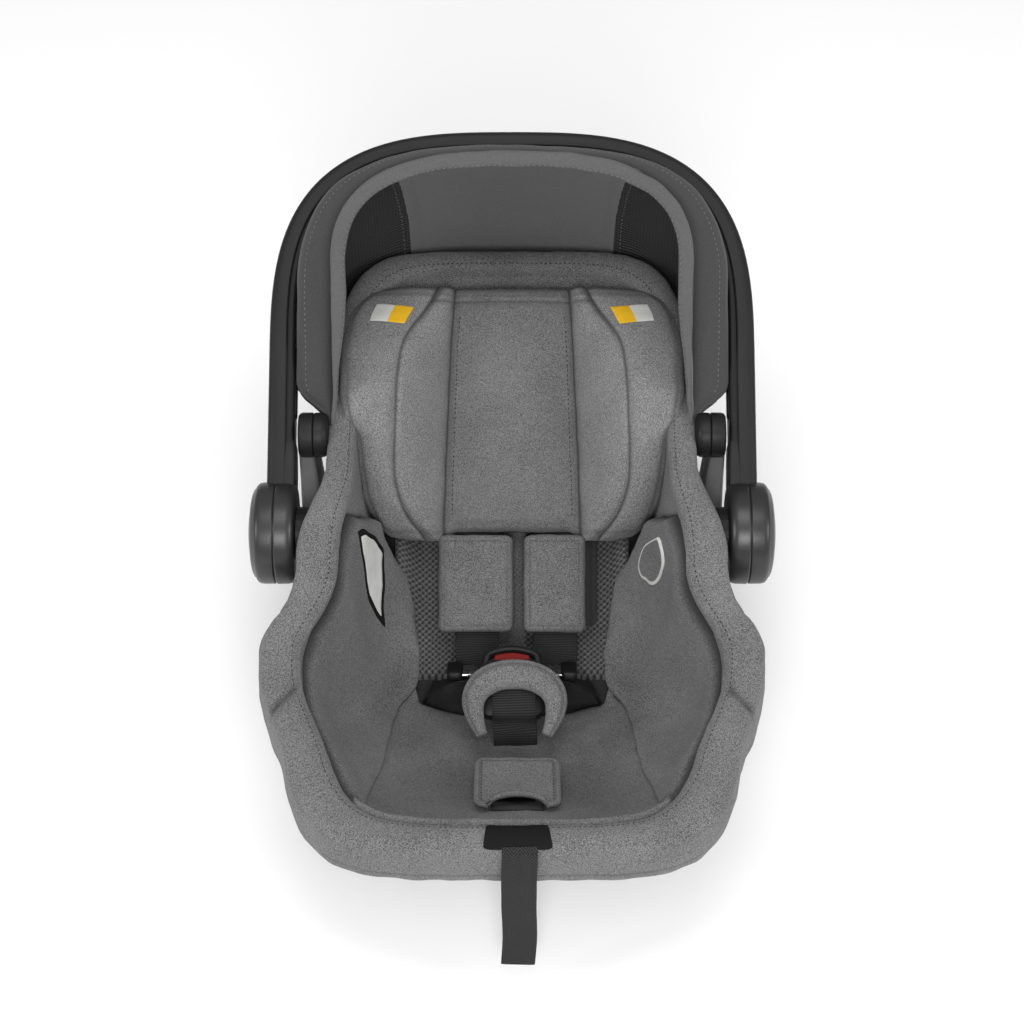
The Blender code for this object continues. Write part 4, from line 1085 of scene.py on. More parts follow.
# ---- harness ------------------------------------------------------------------------------
HARNESS = {"left": {"x": -0.0300, "pad": (-0.0640, 0.0010), "foot": -0.024},
           "right": {"x": 0.0380, "pad": (0.0100, 0.0640), "foot": 0.033}}
PAD_CORNER = 0.006
PAD_CROWN = 0.0020
BUCKLE = (0.0, -0.122, 0.122)
BUCKLE_ANGLE = radians(25.0)
BUCKLE_BROW = ((-0.0225, 0.0200, 0.002), (-0.0190, 0.0290, 0.003), (0.0, 0.0330, 0.004),
               (0.0190, 0.0290, 0.003), (0.0225, 0.0200, 0.002))
TONGUE_LEAN = radians(-35.0)


def buckle_point(x, along, above):
    y = BUCKLE[1] + along * cos(BUCKLE_ANGLE) - above * sin(BUCKLE_ANGLE)
    z = BUCKLE[2] + along * sin(BUCKLE_ANGLE) + above * cos(BUCKLE_ANGLE)
    return np.stack(np.broadcast_arrays(x, y, z), -1)


def add_flat_pad(name, x_from, x_to, along_from, along_to, base, thickness, look, seed):
    """Crowned pad with rounded corners lying on the back."""
    rows, columns = 64, 40
    x = np.linspace(x_from, x_to, columns)[None, :]
    along = np.linspace(along_from, along_to, rows)[:, None]
    x_mid = (x_from + x_to) / 2.0
    half = (x_to - x_from) / 2.0
    end = np.minimum(along - along_from, along_to - along)
    x = x_mid + (x - x_mid) * (half - rounded_cut(end, PAD_CORNER)) / half
    along = along + 0.0 * x
    near = np.minimum(np.minimum(along - along_from, along_to - along),
                      np.minimum(x - x.min(1, keepdims=True), x.max(1, keepdims=True) - x))
    above = base + thickness * (0.30 + 0.70 * roll(near + 0.0002, 0.0055))
    above = above + PAD_CROWN * np.cos(pi * (x - x_mid) / (x_to - x_from))
    above = above - 0.0005 * valley(near - 0.0065, 0.0014)
    top = back_point(x, along, above)
    top = crumpled(top, upward_normals(top), (0.0009, 0.018, seed), (0.0004, 0.007, seed + 1))
    bottom = back_point(x, along, base - 0.1 * thickness + 0.0 * x)
    # painted shade in the line inside the pad's edge and at the edge itself
    shade = 0.35 * valley(near - 0.0055, 0.0010) + 0.5 * valley(near, 0.0008)
    pad = add_slab(name, top, bottom, look, "root", shade)
    return pad


def add_shoulder_harness(side, sign):
    spec = HARNESS[side]
    x = spec["x"]
    foot = spec["foot"]
    path = [back_point(x, 0.245, 0.0050), back_point(x, 0.180, 0.0060), back_point(x, 0.130, 0.0075),
            back_point(x, 0.090, 0.0085), back_point(x, 0.052, 0.0095), back_point(x, 0.034, 0.0125),
            back_point((x + foot) / 2.0, 0.019, 0.0215), (foot, -0.100, 0.1130), (foot, -0.108, 0.1150)]
    strap = add_strap("shoulder_webbing_" + side, path, 0.038, "webbing", "root", rows=110)
    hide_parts("shoulder_strap_" + side)
    low, high = spec["pad"]
    pad = add_flat_pad("shoulder_pad_" + side + "_padded", low, high, 0.053, 0.1375, 0.0100, 0.0085,
                       "melange", 31 + int(sign))
    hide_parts("shoulder_pad_" + side)
    if side == "right":
        add_flat_pad("shoulder_pad_backing_right", 0.030, 0.0745, 0.058, 0.1360, 0.0070, 0.0030,
                     "dark_cloth_and_painted_shade", 37)


def add_hip_strap(side, sign):
    path = [(sign * 0.074, -0.086, 0.066), (sign * 0.071, -0.091, 0.078), (sign * 0.063, -0.098, 0.094),
            (sign * 0.052, -0.1030, 0.1080), (sign * 0.040, -0.1030, 0.1140)]
    lean = (0.0, -sin(radians(48.0)), cos(radians(48.0)))
    strap = add_strap("hip_webbing_" + side, path, 0.026, "webbing", "root", rows=50, across=lean)
    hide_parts("hip_strap_" + side)


def rounded_plate(width, height, corner, count=40):
    """Outline of a plate with rounded corners."""
    angle = angles(count)
    x = (width / 2.0 - corner) * np.sign(np.cos(angle).round(9)) + corner * np.cos(angle)
    y = (height / 2.0 - corner) * np.sign(np.sin(angle).round(9)) + corner * np.sin(angle)
    return np.stack([x, y], -1)


def add_plate(name, place, centre, size, thickness, corner, look, body, edge=0.0012, dome=0.0):
    """Moulded plate with rounded corners and edges on a plane given by place(x, along, above)."""
    levels = ((edge, 0.0), (edge * 0.3, edge * 0.3), (0.0, edge), (0.0, thickness - edge),
              (edge * 0.3, thickness - edge * 0.3), (edge, thickness),
              (edge * 2.5, thickness + dome * 0.6), (min(size) * 0.30, thickness + dome))
    loops = []
    for inset, rise in levels:
        outline = rounded_plate(size[0] - 2.0 * inset, size[1] - 2.0 * inset, max(corner - inset, 0.0004))
        loops.append(place(centre[0] + outline[:, 0], centre[1] + outline[:, 1], centre[2] + rise))
    return add_loft(name, np.array(loops)[:, ::-1], look, body, 40.0)


def tongue_point(x, along, above):
    """Point on the plane of the two buckle tongues, which lean forward."""
    y = -0.0980 + along * cos(TONGUE_LEAN) - above * sin(TONGUE_LEAN)
    z = 0.1160 + along * sin(TONGUE_LEAN) + above * cos(TONGUE_LEAN)
    return np.stack(np.broadcast_arrays(x, y, z), -1)


def add_buckle():
    """Buckle lying back over the crotch strap, with its brow, tongues and strap."""
    shell = add_plate("buckle_shell", buckle_point, (0.0, -0.0010, -0.0100), (0.056, 0.050), 0.0185, 0.010,
                      "black", "root", 0.0030, 0.0012)
    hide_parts("buckle_body")
    path = [buckle_point(*spot) for spot in BUCKLE_BROW]
    up = buckle_point(0.0, 0.0, 1.0) - buckle_point(0.0, 0.0, 0.0)
    add_loft("buckle_brow", sweep_loops(smooth_curve(path, 40), circle(0.0036, 14, 1.9), up), "black", "root")
    for side, sign in SIDES.items():
        tongue = add_plate("tongue_plate_" + side, tongue_point, (sign * 0.0425, 0.0, -0.0012),
                           (0.026, 0.028), 0.0024, 0.004, "steel", "root", 0.0007)
        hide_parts("tongue_" + side)
        add_plate("tongue_mould_" + side, tongue_point, (sign * 0.0490, 0.0, -0.0035), (0.014, 0.033),
                  0.0070, 0.004, "black", "root", 0.0015)
    path = [(0.003, -0.1570, 0.062), (0.003, -0.1575, 0.092), (0.003, -0.1555, 0.1030),
            (0.002, -0.1500, 0.1115), buckle_point(0.002, -0.022, 0.0118), buckle_point(0.001, 0.004, 0.0122)]
    strap = add_strap("crotch_webbing", path, 0.037, "webbing", "root", rows=60)
    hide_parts("crotch_strap")


def add_crotch_pad():
    """Padded sleeve in the shape of an arch over the buckle's lower half."""

    def place(x, down):
        """Point on the sleeve's sloping plane: down from its top edge."""
        run = np.array([0.0, 0.030, 0.056, 0.081])
        marks = np.array([buckle_point(0.0, 0.030, 0.0172), buckle_point(0.0, 0.0, 0.0172),
                          buckle_point(0.0, -0.026, 0.0172), (0.0, -0.171, 0.1190)])
        y = np.interp(down, run, marks[:, 1])
        z = np.interp(down, run, marks[:, 2])
        return np.stack(np.broadcast_arrays(x, y, z), -1)

    steps = 100
    t = np.linspace(-1.0, 1.0, steps)
    middle = 0.0022
    legs = 0.0790
    shoulder = 0.52
    bend = np.clip(np.abs(t) / shoulder, 0.0, 1.0)
    below = np.clip((np.abs(t) - shoulder) / (1.0 - shoulder), 0.0, 1.0)
    x = middle + np.sign(t) * (0.0350 * np.sin(pi / 2.0 * bend) ** 0.85 - 0.0080 * below ** 1.5)
    down = 0.0215 + 0.0260 * (1.0 - np.cos(pi / 2.0 * bend)) + (legs - 0.0475) * below
    path = place(x, down)
    width = np.interp(np.abs(t), (0.0, 0.25, 0.55, 1.0), (0.0128, 0.0122, 0.0090, 0.0045))
    depth = np.interp(np.abs(t), (0.0, 0.5, 1.0), (0.0070, 0.0062, 0.0052))
    around = angles(32)
    tangent = unit(np.gradient(path, axis=0))
    out = np.array([0.0, -sin(BUCKLE_ANGLE), cos(BUCKLE_ANGLE)])
    side = unit(np.cross(tangent, out))
    across = np.sign(np.cos(around)) * np.abs(np.cos(around)) ** 0.7
    loops = (path[:, None] + side[:, None] * (width[:, None] * across[None, :])[..., None]
             + out * (depth[:, None] * np.sin(around)[None, :])[..., None])
    groove = valley(across + 0.60, 0.10) * (np.sin(around) > 0.0)
    loops -= out * (0.0014 * groove)[None, :, None]
    loops += 0.0009 * ripple(loops, 0.012, 41)[..., None] * out
    # painted shade in the sleeve's groove
    shade = np.concatenate([np.tile(0.8 * groove, (steps, 1)).ravel(), [0.0, 0.0]])
    pad = add_loft("crotch_pad_sleeve", loops, "melange", "root", None, {"shade": shade})
    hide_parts("crotch_pad")


FLAP = (-0.031, 0.040, 0.112, 0.181)       # x from and to, then distance down the pan
FLAP_CORNER = 0.010


def add_adjuster_flap():
    """Flap over the adjuster, lifted into an arch at its front edge, and a dark sheet of painted shade in the
    mouth below it.
    """
    rows, columns = 50, 48
    x_from, x_to, along_from, along_to = FLAP
    x = np.linspace(x_from, x_to, columns)[None, :]
    along = np.linspace(along_from, along_to, rows)[:, None]
    middle = 0.0045
    half = 0.0355
    end = np.minimum(along - along_from, along_to - along)
    cut = rounded_cut(end, FLAP_CORNER)
    x = middle + (x - middle) * (half - cut) / half
    along = along + 0.0 * x
    arch = np.sqrt(np.clip(1.0 - ((x - middle) / 0.024) ** 2, 0.0, 1.0))
    lift = 0.0034 * arch * smooth_step(along, 0.139, 0.179)
    near = np.minimum(np.minimum(along - along_from, along_to - along), half - cut - np.abs(x - middle))
    along = along - 0.0115 * arch * smooth_step(along, 0.161, 0.181)
    above = 0.0062 + lift + 0.0022 * roll(np.maximum(near, 0.0) + 0.0002, 0.004)
    above = above - 0.0009 * valley(near - 0.0050, 0.0012)
    top = pan_point(x, along, above)
    normal = upward_normals(top)
    top = crumpled(top, normal, (0.0007, 0.016, 51))
    # painted shade in the line inside the flap's edge; the flap takes the painted-shade copy of the melange
    flap = add_slab("adjuster_cover_flap", top, pan_point(x, along, above - 0.0030), "melange_painted_shade", "root",
                    0.55 * valley(near - 0.0050, 0.0010))
    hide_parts("adjuster_flap")
    for name, column in (("left", 4), ("right", columns - 5)):
        add_stitches("flap_stitch_" + name, top[3:-4, column], normal[3:-4, column], "dark_thread", "root")
    x = np.linspace(middle - 0.022, middle + 0.022, 14)[None, :]
    along = np.linspace(0.151, 0.1765, 12)[:, None] + 0.0 * x
    x = x + 0.0 * along
    y = CREASE[1] - along * cos(PAN_ANGLE)
    top = np.stack([x, y, bowl_height(x, y, 0.0178)], -1)
    # dark sheet of painted shade in the mouth under the arch
    mouth = add_slab("adjuster_mouth_shade", top, top - (0.0, 0.0, 0.002), "dark_cloth_and_painted_shade", "root")


def add_tail(cover):
    """Free end of the adjuster webbing, out from below the label, over the front edge and down."""
    x = 0.0055
    out = FOOT_END
    place = grid_place(*cover)
    over = [place(362.6, column, 0.0020) for column in (33.2, 34.6, 36.0)]
    path = over + [(x, out - 0.0122, 0.158), (x, out - 0.0124, 0.135), (x, out - 0.0120, 0.115),
                   (x + 0.0006, out - 0.0110, 0.090), (x + 0.0008, out - 0.0106, 0.070),
                   (x + 0.0002, out - 0.0112, 0.050), (x - 0.0006, out - 0.0117, 0.032)]
    strap = add_strap("adjuster_tail_strap", path, 0.028, "tail", "root", 0.0018, 120)
    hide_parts("adjuster_tail")


# ---- canopy -------------------------------------------------------------------------------
# Profile of the canopy: lean in degrees, half width, reach.
OUTER_PROFILE = ((32.6, 0.1500, 0.2385), (34.6, 0.1500, 0.2360), (36.6, 0.1590, 0.2395),
                 (39.5, 0.1732, 0.2422), (43.0, 0.1754, 0.2422), (47.0, 0.1744, 0.2412),
                 (50.0, 0.1665, 0.2400), (54.0, 0.1640, 0.2385), (58.0, 0.1724, 0.2390),
                 (64.0, 0.1740, 0.2370), (72.0, 0.1732, 0.2330), (80.0, 0.1710, 0.2280),
                 (90.0, 0.1650, 0.2185), (98.0, 0.1610, 0.2130))
INNER_PROFILE = ((33.5, 0.1500, 0.2370), (40.0, 0.1540, 0.2345), (47.0, 0.1550, 0.2330),
                 (54.0, 0.1560, 0.2345), (62.0, 0.1580, 0.2335), (72.0, 0.1600, 0.2295),
                 (84.0, 0.1600, 0.2215), (97.0, 0.1570, 0.2100))
WINDOW_LINE = ((33.5, 0.103), (45.0, 0.098), (54.0, 0.094), (75.0, 0.088), (97.0, 0.086))
WINDOW_SEAM = 44                 # column of the window's seam, and of the window's start
WINDOW_START = 22
CENTRE_COLUMNS = 30              # from the window's seam to the middle
FOLD_LEAN = 34.2                 # painted shade in the gap behind the rim, and the stitches of the fold behind it
FOLD_STITCH_LEAN = 38.6
CLOTH = 0.0014
CLOTH_FLARE = 0.0058
FOOT_IN = 0.1520                  # the cloth gathers on the inner faces of the hubs
CLOTH_FOOT = 0.0050
CLOTH_BLEND = {"front": ("canopy_mid", "canopy_front", 43.3, 0.020),
               "rear": ("root", "canopy_mid", 76.0, 0.030)}

# Profiles of (x, radius) for the canopy's hub and the head of its post.
CANOPY_HUB = ((0.1666, 0.0), (0.1666, 0.0182), (0.1660, 0.0188), (0.1615, 0.0190), (0.1585, 0.0186),
              (0.1562, 0.0174), (0.1548, 0.0152), (0.1542, 0.0110), (0.1542, 0.0))
POST_HEAD = ((0.1670, 0.0), (0.1670, 0.0180), (0.1678, 0.0190), (0.1760, 0.0190), (0.1782, 0.0184),
             (0.1795, 0.0168), (0.1799, 0.0130), (0.1799, 0.0))
# Levels of the post: height, reach to the back and front of the axis, inner and outer face.
POST_LEVELS = ((0.268, 0.015, 0.015, 0.1672, 0.1796), (0.258, 0.0165, 0.0165, 0.1660, 0.1797),
               (0.240, 0.0175, 0.020, 0.1640, 0.1798), (0.218, 0.0185, 0.028, 0.1625, 0.1798),
               (0.206, 0.019, 0.040, 0.1620, 0.1798), (0.196, 0.019, 0.050, 0.1620, 0.1798))


def canopy_line(lean, profile, line, foot=CLOTH_FOOT):
    """Outline of the cloth at a lean, with one column on the window's seam."""
    width = soft_profile(lean, profile, 1)
    reach = soft_profile(lean, profile, 2)
    x, along = bow_outline(width, reach, CANOPY_STRAIGHT - 0.012, 2.7, foot, 801)
    half = len(x) // 2
    x, along = x[:half + 1], along[:half + 1]
    flare = CLOTH_FLARE * smooth_step(width, 0.160, 0.169) * smooth_step(along, 0.018, 0.046)
    x = x + flare * (1.0 - smooth_step(along, 0.130, 0.190))
    x = x - (x - FOOT_IN) * (1.0 - smooth_step(along, 0.010, 0.040)) * (along < 0.1)
    run = run_along(np.stack([x, along], -1))
    past = np.argmax(np.abs(x) < line)
    places = np.concatenate([np.linspace(0.0, run[past], WINDOW_SEAM + 1),
                             np.linspace(run[past], run[-1], CENTRE_COLUMNS + 1)[1:]])
    x = np.interp(places, run, x)
    along = np.interp(places, run, along)
    return np.concatenate([x, -x[-2::-1]]), np.concatenate([along, along[-2::-1]])


def soft_profile(lean, profile, which):
    table = [(row[0], row[which]) for row in profile]
    return float(np.mean([along_lines(lean + s, table) for s in (-1.0, -0.5, 0.0, 0.5, 1.0)]))


def canopy_grid(lean_from, lean_to, rows, profile, seed, gather=0.0016, sag=0.0):
    """Curved cloth between two leans, gathered into folds towards its feet."""
    grid = []
    for r in range(rows):
        share = r / (rows - 1)
        lean = lean_from + (lean_to - lean_from) * share
        x, along = canopy_line(lean, profile, float(along_lines(lean, WINDOW_LINE)))
        hang = 1.0 - sag * sin(pi * share) / 0.235
        grid.append(swing_point(CANOPY, radians(lean), x * hang, along * hang, 0.0))
    grid = np.array(grid)
    centre = np.array([0.0, CANOPY.y, CANOPY.z])
    radius = np.hypot(grid[..., 1] - centre[1], grid[..., 2] - centre[2])
    lean = np.linspace(lean_from, lean_to, rows)[:, None] + 0.0 * radius
    near = np.exp(-((radius - 0.02) / 0.055))
    folds = np.sin(np.radians(lean) * 26.0 + seed + 0.8 * np.sign(grid[..., 0]))
    folds = folds + 0.6 * np.sin(np.radians(lean) * 47.0 + 2.0 * seed)
    normal = grid_normals(grid)
    grid = grid + normal * (gather * near * folds)[..., None]
    fade = smooth_step(radius, 0.03, 0.07)
    waves = 0.0015 * ripple(grid, 0.060, seed) + 0.0006 * ripple(grid, 0.022, seed + 1)
    return grid + normal * (fade * waves)[..., None]


def outward(grid):
    """Normals of a canopy grid, away from its axis."""
    normal = grid_normals(grid)
    middle = normal[grid.shape[0] // 2, grid.shape[1] // 2]
    reach = grid[grid.shape[0] // 2, grid.shape[1] // 2] - np.array([0.0, CANOPY.y, CANOPY.z])
    return normal * np.sign(np.dot(middle, reach))


def blend_cloth(piece, zone):
    low, high, lean, reach = CLOTH_BLEND[zone]
    lean = radians(lean)
    ahead = Vector((0.0, -cos(lean), sin(lean)))
    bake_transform(piece)
    return piece


def cloth_slab(name, grid, look, zone, shade=None, second=None, columns_second=None):
    """Thin closed cloth with its outside on the grid; some columns may take a second material."""
    normal = outward(grid)
    flip = np.dot(np.cross(grid[1, 1] - grid[0, 1], grid[0, 2] - grid[0, 1]), normal[0, 1]) > 0.0
    piece = add_slab(name, grid, grid - normal * CLOTH, look, None, shade, flip=bool(flip))
    if second:
        rows, columns = grid.shape[:2]
        piece.data.materials.append(MATERIALS[second])
        number = np.zeros(len(piece.data.polygons), np.int32)
        half = (rows - 1) * (columns - 1)
        pick = np.zeros((rows - 1, columns - 1), bool)
        for low, high in columns_second:
            pick[:, low:high] = True
        number[:half] = pick.ravel()
        number[half:2 * half] = pick.ravel()
        piece.data.polygons.foreach_set("material_index", number)
    blend_cloth(piece, zone)
    return piece


def band_loops(lean, x, along, steps, shape):
    """Loops of a band that follows a bow: shape(angle) gives its depth outwards and its place across."""
    nx, nl = line_normals(x, along)
    loops = []
    for angle in angles(steps):
        deep, across = shape(angle)
        loops.append(swing_point(CANOPY, lean, x + nx * deep, along + nl * deep, across))
    return np.array(loops).transpose(1, 0, 2)


def add_canopy_rim():
    """Stitched hem round the front bow: a band that faces the occupant, its outer edge rolled."""
    x, along = canopy_line(degrees(FRONT_BOW), OUTER_PROFILE, 0.10, foot=0.0060)
    width = 0.0040 + 0.0085 * smooth_step(along, 0.03, 0.12)

    def hem(angle):
        share = 0.5 + 0.5 * np.sign(cos(angle)) * abs(cos(angle)) ** 0.75
        across = 0.0026 * sin(angle) * (1.0 + 0.8 * share ** 3)
        return -width * (1.0 - share) + 0.0005, across + 0.0012 * share

    loops = band_loops(FRONT_BOW, x, along, 36, hem)
    loops += 0.0006 * ripple(loops, 0.018, 61)[..., None]
    rim = add_loft("canopy_rim_hem", loops, "rim", "canopy_front")
    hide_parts("canopy_front_bow")
    nx, nl = line_normals(x, along)
    line = -width * 0.86
    front = swing_point(CANOPY, FRONT_BOW, x + nx * line, along + nl * line, -0.0024)
    normal = np.tile((0.0, -cos(FRONT_BOW), sin(FRONT_BOW)), (len(x), 1))
    add_stitches("canopy_rim_stitch", front[6:-6], normal[6:-6], "thread", "canopy_front",
                 0.0046, 0.0028, 0.0006)


def add_canopy_seam():
    """Bound seam over the middle bow."""
    x, along = canopy_line(degrees(MID_BOW), OUTER_PROFILE, 0.10, foot=0.012)

    def binding(angle):
        return 0.0026 * sin(angle) - 0.0012, 0.0058 * np.sign(cos(angle)) * abs(cos(angle)) ** 0.6

    seam = add_loft("canopy_mid_seam", band_loops(MID_BOW, x, along, 20, binding), "canopy", "canopy_mid")
    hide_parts("canopy_mid_bow")
    nx, nl = line_normals(x, along)
    normal = np.stack([nx, nl * sin(MID_BOW), nl * cos(MID_BOW)], -1)
    for name, across in (("front", -0.0030), ("rear", 0.0030)):
        line = swing_point(CANOPY, MID_BOW, x + nx * 0.0014, along + nl * 0.0014, across)
        add_stitches("canopy_seam_stitch_" + name, line[4:-4], normal[4:-4], "dark_thread", "canopy_mid",
                     0.0052, 0.0030)


def add_outer_cloth(zone, low, high, rows, seed, nodes):
    grid = canopy_grid(low, high, rows, OUTER_PROFILE, seed)
    lean = np.linspace(low, high, rows)[:, None] + 0.0 * grid[..., 0]
    front = zone == "front"
    # painted shade in the gap behind the rim
    shade = 0.9 * valley(lean - FOLD_LEAN, 1.6) if front else None
    outer = cloth_slab("canopy_outer_" + zone, grid, "canopy", zone, shade)
    if front:
        row = int(np.argmin(np.abs(lean[:, 0] - FOLD_STITCH_LEAN)))
        stitch = add_stitches("canopy_fold_stitch", grid[row, 6:-6], outward(grid)[row, 6:-6], "thread",
                              None, 0.0046, 0.0028)
        blend_cloth(stitch, zone)
    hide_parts(*nodes)


def add_lining(zone, low, high, rows, seed):
    """Inner lining with a window of net each side, its seam sunk between two rows of stitches."""
    grid = canopy_grid(low, high, rows, INNER_PROFILE, seed, 0.0012, 0.004)
    columns = grid.shape[1]
    seam = WINDOW_SEAM
    column = np.arange(columns)
    from_seam = 0.0030 * np.minimum(np.abs(column - seam), np.abs(column - (columns - 1 - seam)))
    # painted shade in the sunk seams of the windows
    shade = np.tile(0.8 * valley(from_seam, 0.0022), (rows, 1))
    normal = outward(grid)
    grid = grid + normal * (0.0016 * valley(from_seam, 0.0022))[None, :, None]
    windows = ((WINDOW_START, seam - 1), (columns - seam, columns - 1 - WINDOW_START))
    inner = cloth_slab("canopy_lining_" + zone, grid, "lining", zone, shade, "net", windows)
    lines = {"left_a": seam - 2, "left_b": seam + 2, "right_a": columns + 1 - seam,
             "right_b": columns - 3 - seam}
    for name, line in lines.items():
        inwards = -normal[2:-2, line]
        stitch = add_stitches("lining_stitch_" + zone + "_" + name, grid[2:-2, line] + inwards * CLOTH,
                              inwards, "thread", None, 0.0050, 0.0030)
        blend_cloth(stitch, zone)


def add_canopy_cloth():
    """Outer cloth and inner lining, each in two pieces that meet over the middle bow."""
    add_outer_cloth("front", 32.6, 54.4, 46, 3.0, ("canopy_front_panel",))
    add_outer_cloth("rear", 53.6, 98.0, 70, 5.0, ("canopy_mid_panel", "canopy_rear_panel"))
    add_lining("front", 34.2, 54.4, 46, 7.0)
    add_lining("rear", 53.6, 97.0, 76, 9.0)


def add_canopy_hubs():
    """Round canopy hubs and the posts that carry them."""
    for side, sign in SIDES.items():
        hub = add_turned("canopy_hub_shell_" + side, CANOPY_HUB, sign, CANOPY, "charcoal", "canopy_front", 64)
        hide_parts("canopy_hub_" + side)
        add_turned("canopy_post_head_" + side, POST_HEAD, sign, CANOPY, "charcoal", "root", 64)
        loops = []
        for z, back, front, inner, outer in POST_LEVELS:
            outline = rounded_section(inner, outer, (back + front) / 2.0, 0.0034, 0.0034)
            y = CANOPY.y + (back - front) / 2.0 + outline[:, 1]
            loops.append(np.stack(np.broadcast_arrays(sign * outline[:, 0], y, z), -1))
        post = add_loft("canopy_post_shell_" + side, np.array(loops)[:, ::-int(sign)], "post", "root", 50.0)
        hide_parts("canopy_post_" + side)


# ---- bucket -------------------------------------------------------------------------------
def bucket_ring(angle, turn, grow):
    """Loop of the bucket's outer skin: turn runs from 0 at the rim to 90 degrees at the keel."""
    power = 2.0 / (3.0 - 1.4 * smooth_step(-np.sin(angle), 0.2, 0.95))
    wide = max(cos(turn), 0.0) ** power
    deep = sin(turn) ** power
    x_rim, y_rim = rim_plan(angle, grow)
    y_keel = -0.055 + 0.155 * np.sign(np.sin(angle)) * np.abs(np.sin(angle)) ** 1.4
    x_keel = 0.045 * np.cos(angle)
    rocker = KEEL_HEIGHT + 0.9 * (y_keel + 0.02) ** 2 - grow
    rim = rim_height(y_rim)
    return np.stack([x_keel + (x_rim - x_keel) * wide, y_keel + (y_rim - y_keel) * wide,
                     rim - (rim - rocker) * deep], -1)


def add_bucket():
    """Moulded bucket: the CAD's skin drawn smoothly, with a rolled rim, a waist line and a raised foot."""
    angle = to_angle(even_places(-180.0, 180.0, 721)[:-1])
    turns = np.radians(np.concatenate([np.linspace(0.0, 80.0, 90), np.linspace(81.0, 90.0, 8)]))
    skin = np.stack([bucket_ring(angle, turn, 0.0) for turn in turns], 1)
    normal = grid_normals(closed(skin))[:-1]
    middle = skin.mean((0, 1))
    normal *= np.sign(np.sum(normal[:, 40] * (skin[:, 40] - middle), -1))[:, None, None]
    below = skin[:, :1, 2] - skin[..., 2]
    waist = np.abs(below - (0.088 + 0.030 * smooth_step(skin[..., 1], -0.05, 0.20)))
    bulge = -0.0011 * valley(waist, 0.0012)
    foot = smooth_step(0.074 - skin[..., 2], 0.0, 0.004) * smooth_step(skin[..., 2], 0.030, 0.034)
    bulge = bulge + 0.0010 * foot * smooth_step(np.abs(skin[..., 1] + 0.02), 0.10, 0.12)
    at_back = smooth_step(skin[..., 1], 0.16, 0.17)
    for x_vent in (-0.054, -0.027, 0.0, 0.027, 0.054):
        vent = 1.0 - smooth_step(np.abs(skin[..., 0] - x_vent), 0.0050, 0.0075)
        vent = vent * (1.0 - smooth_step(np.abs(skin[..., 2] - 0.214), 0.0130, 0.0160))
        bulge = bulge - 0.0028 * vent * at_back
    skin = skin + normal * (bulge - 0.0002)[..., None]
    inside = np.stack([bucket_ring(angle, turn, -0.0042) for turn in turns[:70:3]], 1)[:, ::-1]
    rim = (skin[:, :1] + inside[:, -1:]) / 2.0 + (0.0, 0.0, 0.0016)
    loops = np.concatenate([inside[:, :1] * (0.6, 0.6, 1.0), inside, rim, skin], 1)
    loops = loops.transpose(1, 0, 2)
    bucket = add_loft("bucket_shell", loops[:, ::-1], "bucket", "root", 40.0)
    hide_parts("outer_shell")


# ---- handle and hubs ----------------------------------------------------------------------
CORNER_STEPS = 7
COVER_START = 0.0150             # depths of the inner cover and grip below the handle's outer face
COVER_END = 0.0222
GRIP_HALF = 0.112
# Profiles of (x, radius).
HUB_INNER = ((0.1803, 0.0), (0.1803, 0.0385), (0.1812, 0.0402), (0.1835, 0.0417), (0.1868, 0.0425),
             (0.1955, 0.0427), (0.1966, 0.0420), (0.1966, 0.0))
HUB_CAP = ((0.1969, 0.0), (0.1969, 0.0416), (0.1980, 0.0425), (0.2070, 0.0425), (0.2098, 0.0421),
           (0.2112, 0.0414), (0.2126, 0.0400), (0.2134, 0.0382), (0.2150, 0.0366), (0.2162, 0.0340),
           (0.2172, 0.0300), (0.2176, 0.0222), (0.2170, 0.0216), (0.2150, 0.0214), (0.2150, 0.0))
HUB_BUTTON = ((0.2140, 0.0), (0.2140, 0.0209), (0.2172, 0.0209), (0.2182, 0.0202), (0.2188, 0.0188),
              (0.2184, 0.0150), (0.2182, 0.0))
# Levels of the stem: distance from the hub's axis, size.
STEM_LEVELS = ((0.020, 1.0), (0.040, 1.0), (0.048, 1.0), (0.060, 0.98), (0.074, 0.92), (0.078, 0.80))


def handle_loops(section, shape_of, keep, count):
    """Loops of a section along the handle; shape_of gives depths and places across near the top."""
    x, along = bow_outline(HANDLE_HALF_WIDTH, HANDLE_REACH, HANDLE_STRAIGHT, 3.0, 0.0300, count)
    nx, nl = line_normals(x, along)
    top = smooth_step(along, 0.15, 0.33)
    pick = keep(x, along)
    loops = []
    for k in np.nonzero(pick)[0]:
        deep, across = shape_of(section, top[k])
        loops.append(swing_point(HUB, HANDLE_TILT, x[k] - nx[k] * deep, along[k] - nl[k] * deep, across))
    return np.array(loops), x[pick]


def rounded_section(depth_from, depth_to, half, outer_corner, inner_corner):
    """Section with a large radius outside and a small one inside: (depth, across) points."""
    points = []
    corners = ((depth_from, -1, outer_corner, 180), (depth_to, -1, inner_corner, 270),
               (depth_to, 1, inner_corner, 0), (depth_from, 1, outer_corner, 90))
    for depth, sign, corner, start in corners:
        inward = 1.0 if depth == depth_from else -1.0
        cx = depth + inward * corner
        cy = sign * (half - corner)
        for k in range(CORNER_STEPS):
            angle = radians(start + 90.0 * k / (CORNER_STEPS - 1))
            points.append((cx + corner * cos(angle), cy + corner * sin(angle)))
    return np.array(points)


def frame_shape(section, top):
    slim = 1.0 - 0.12 * top
    return section[:, 0] * slim, section[:, 1] * slim


def cover_shape(section, top):
    slim = 1.0 - 0.12 * top
    return COVER_START * slim + (section[:, 0] - COVER_START) * (1.0 - 0.30 * top), section[:, 1] * slim


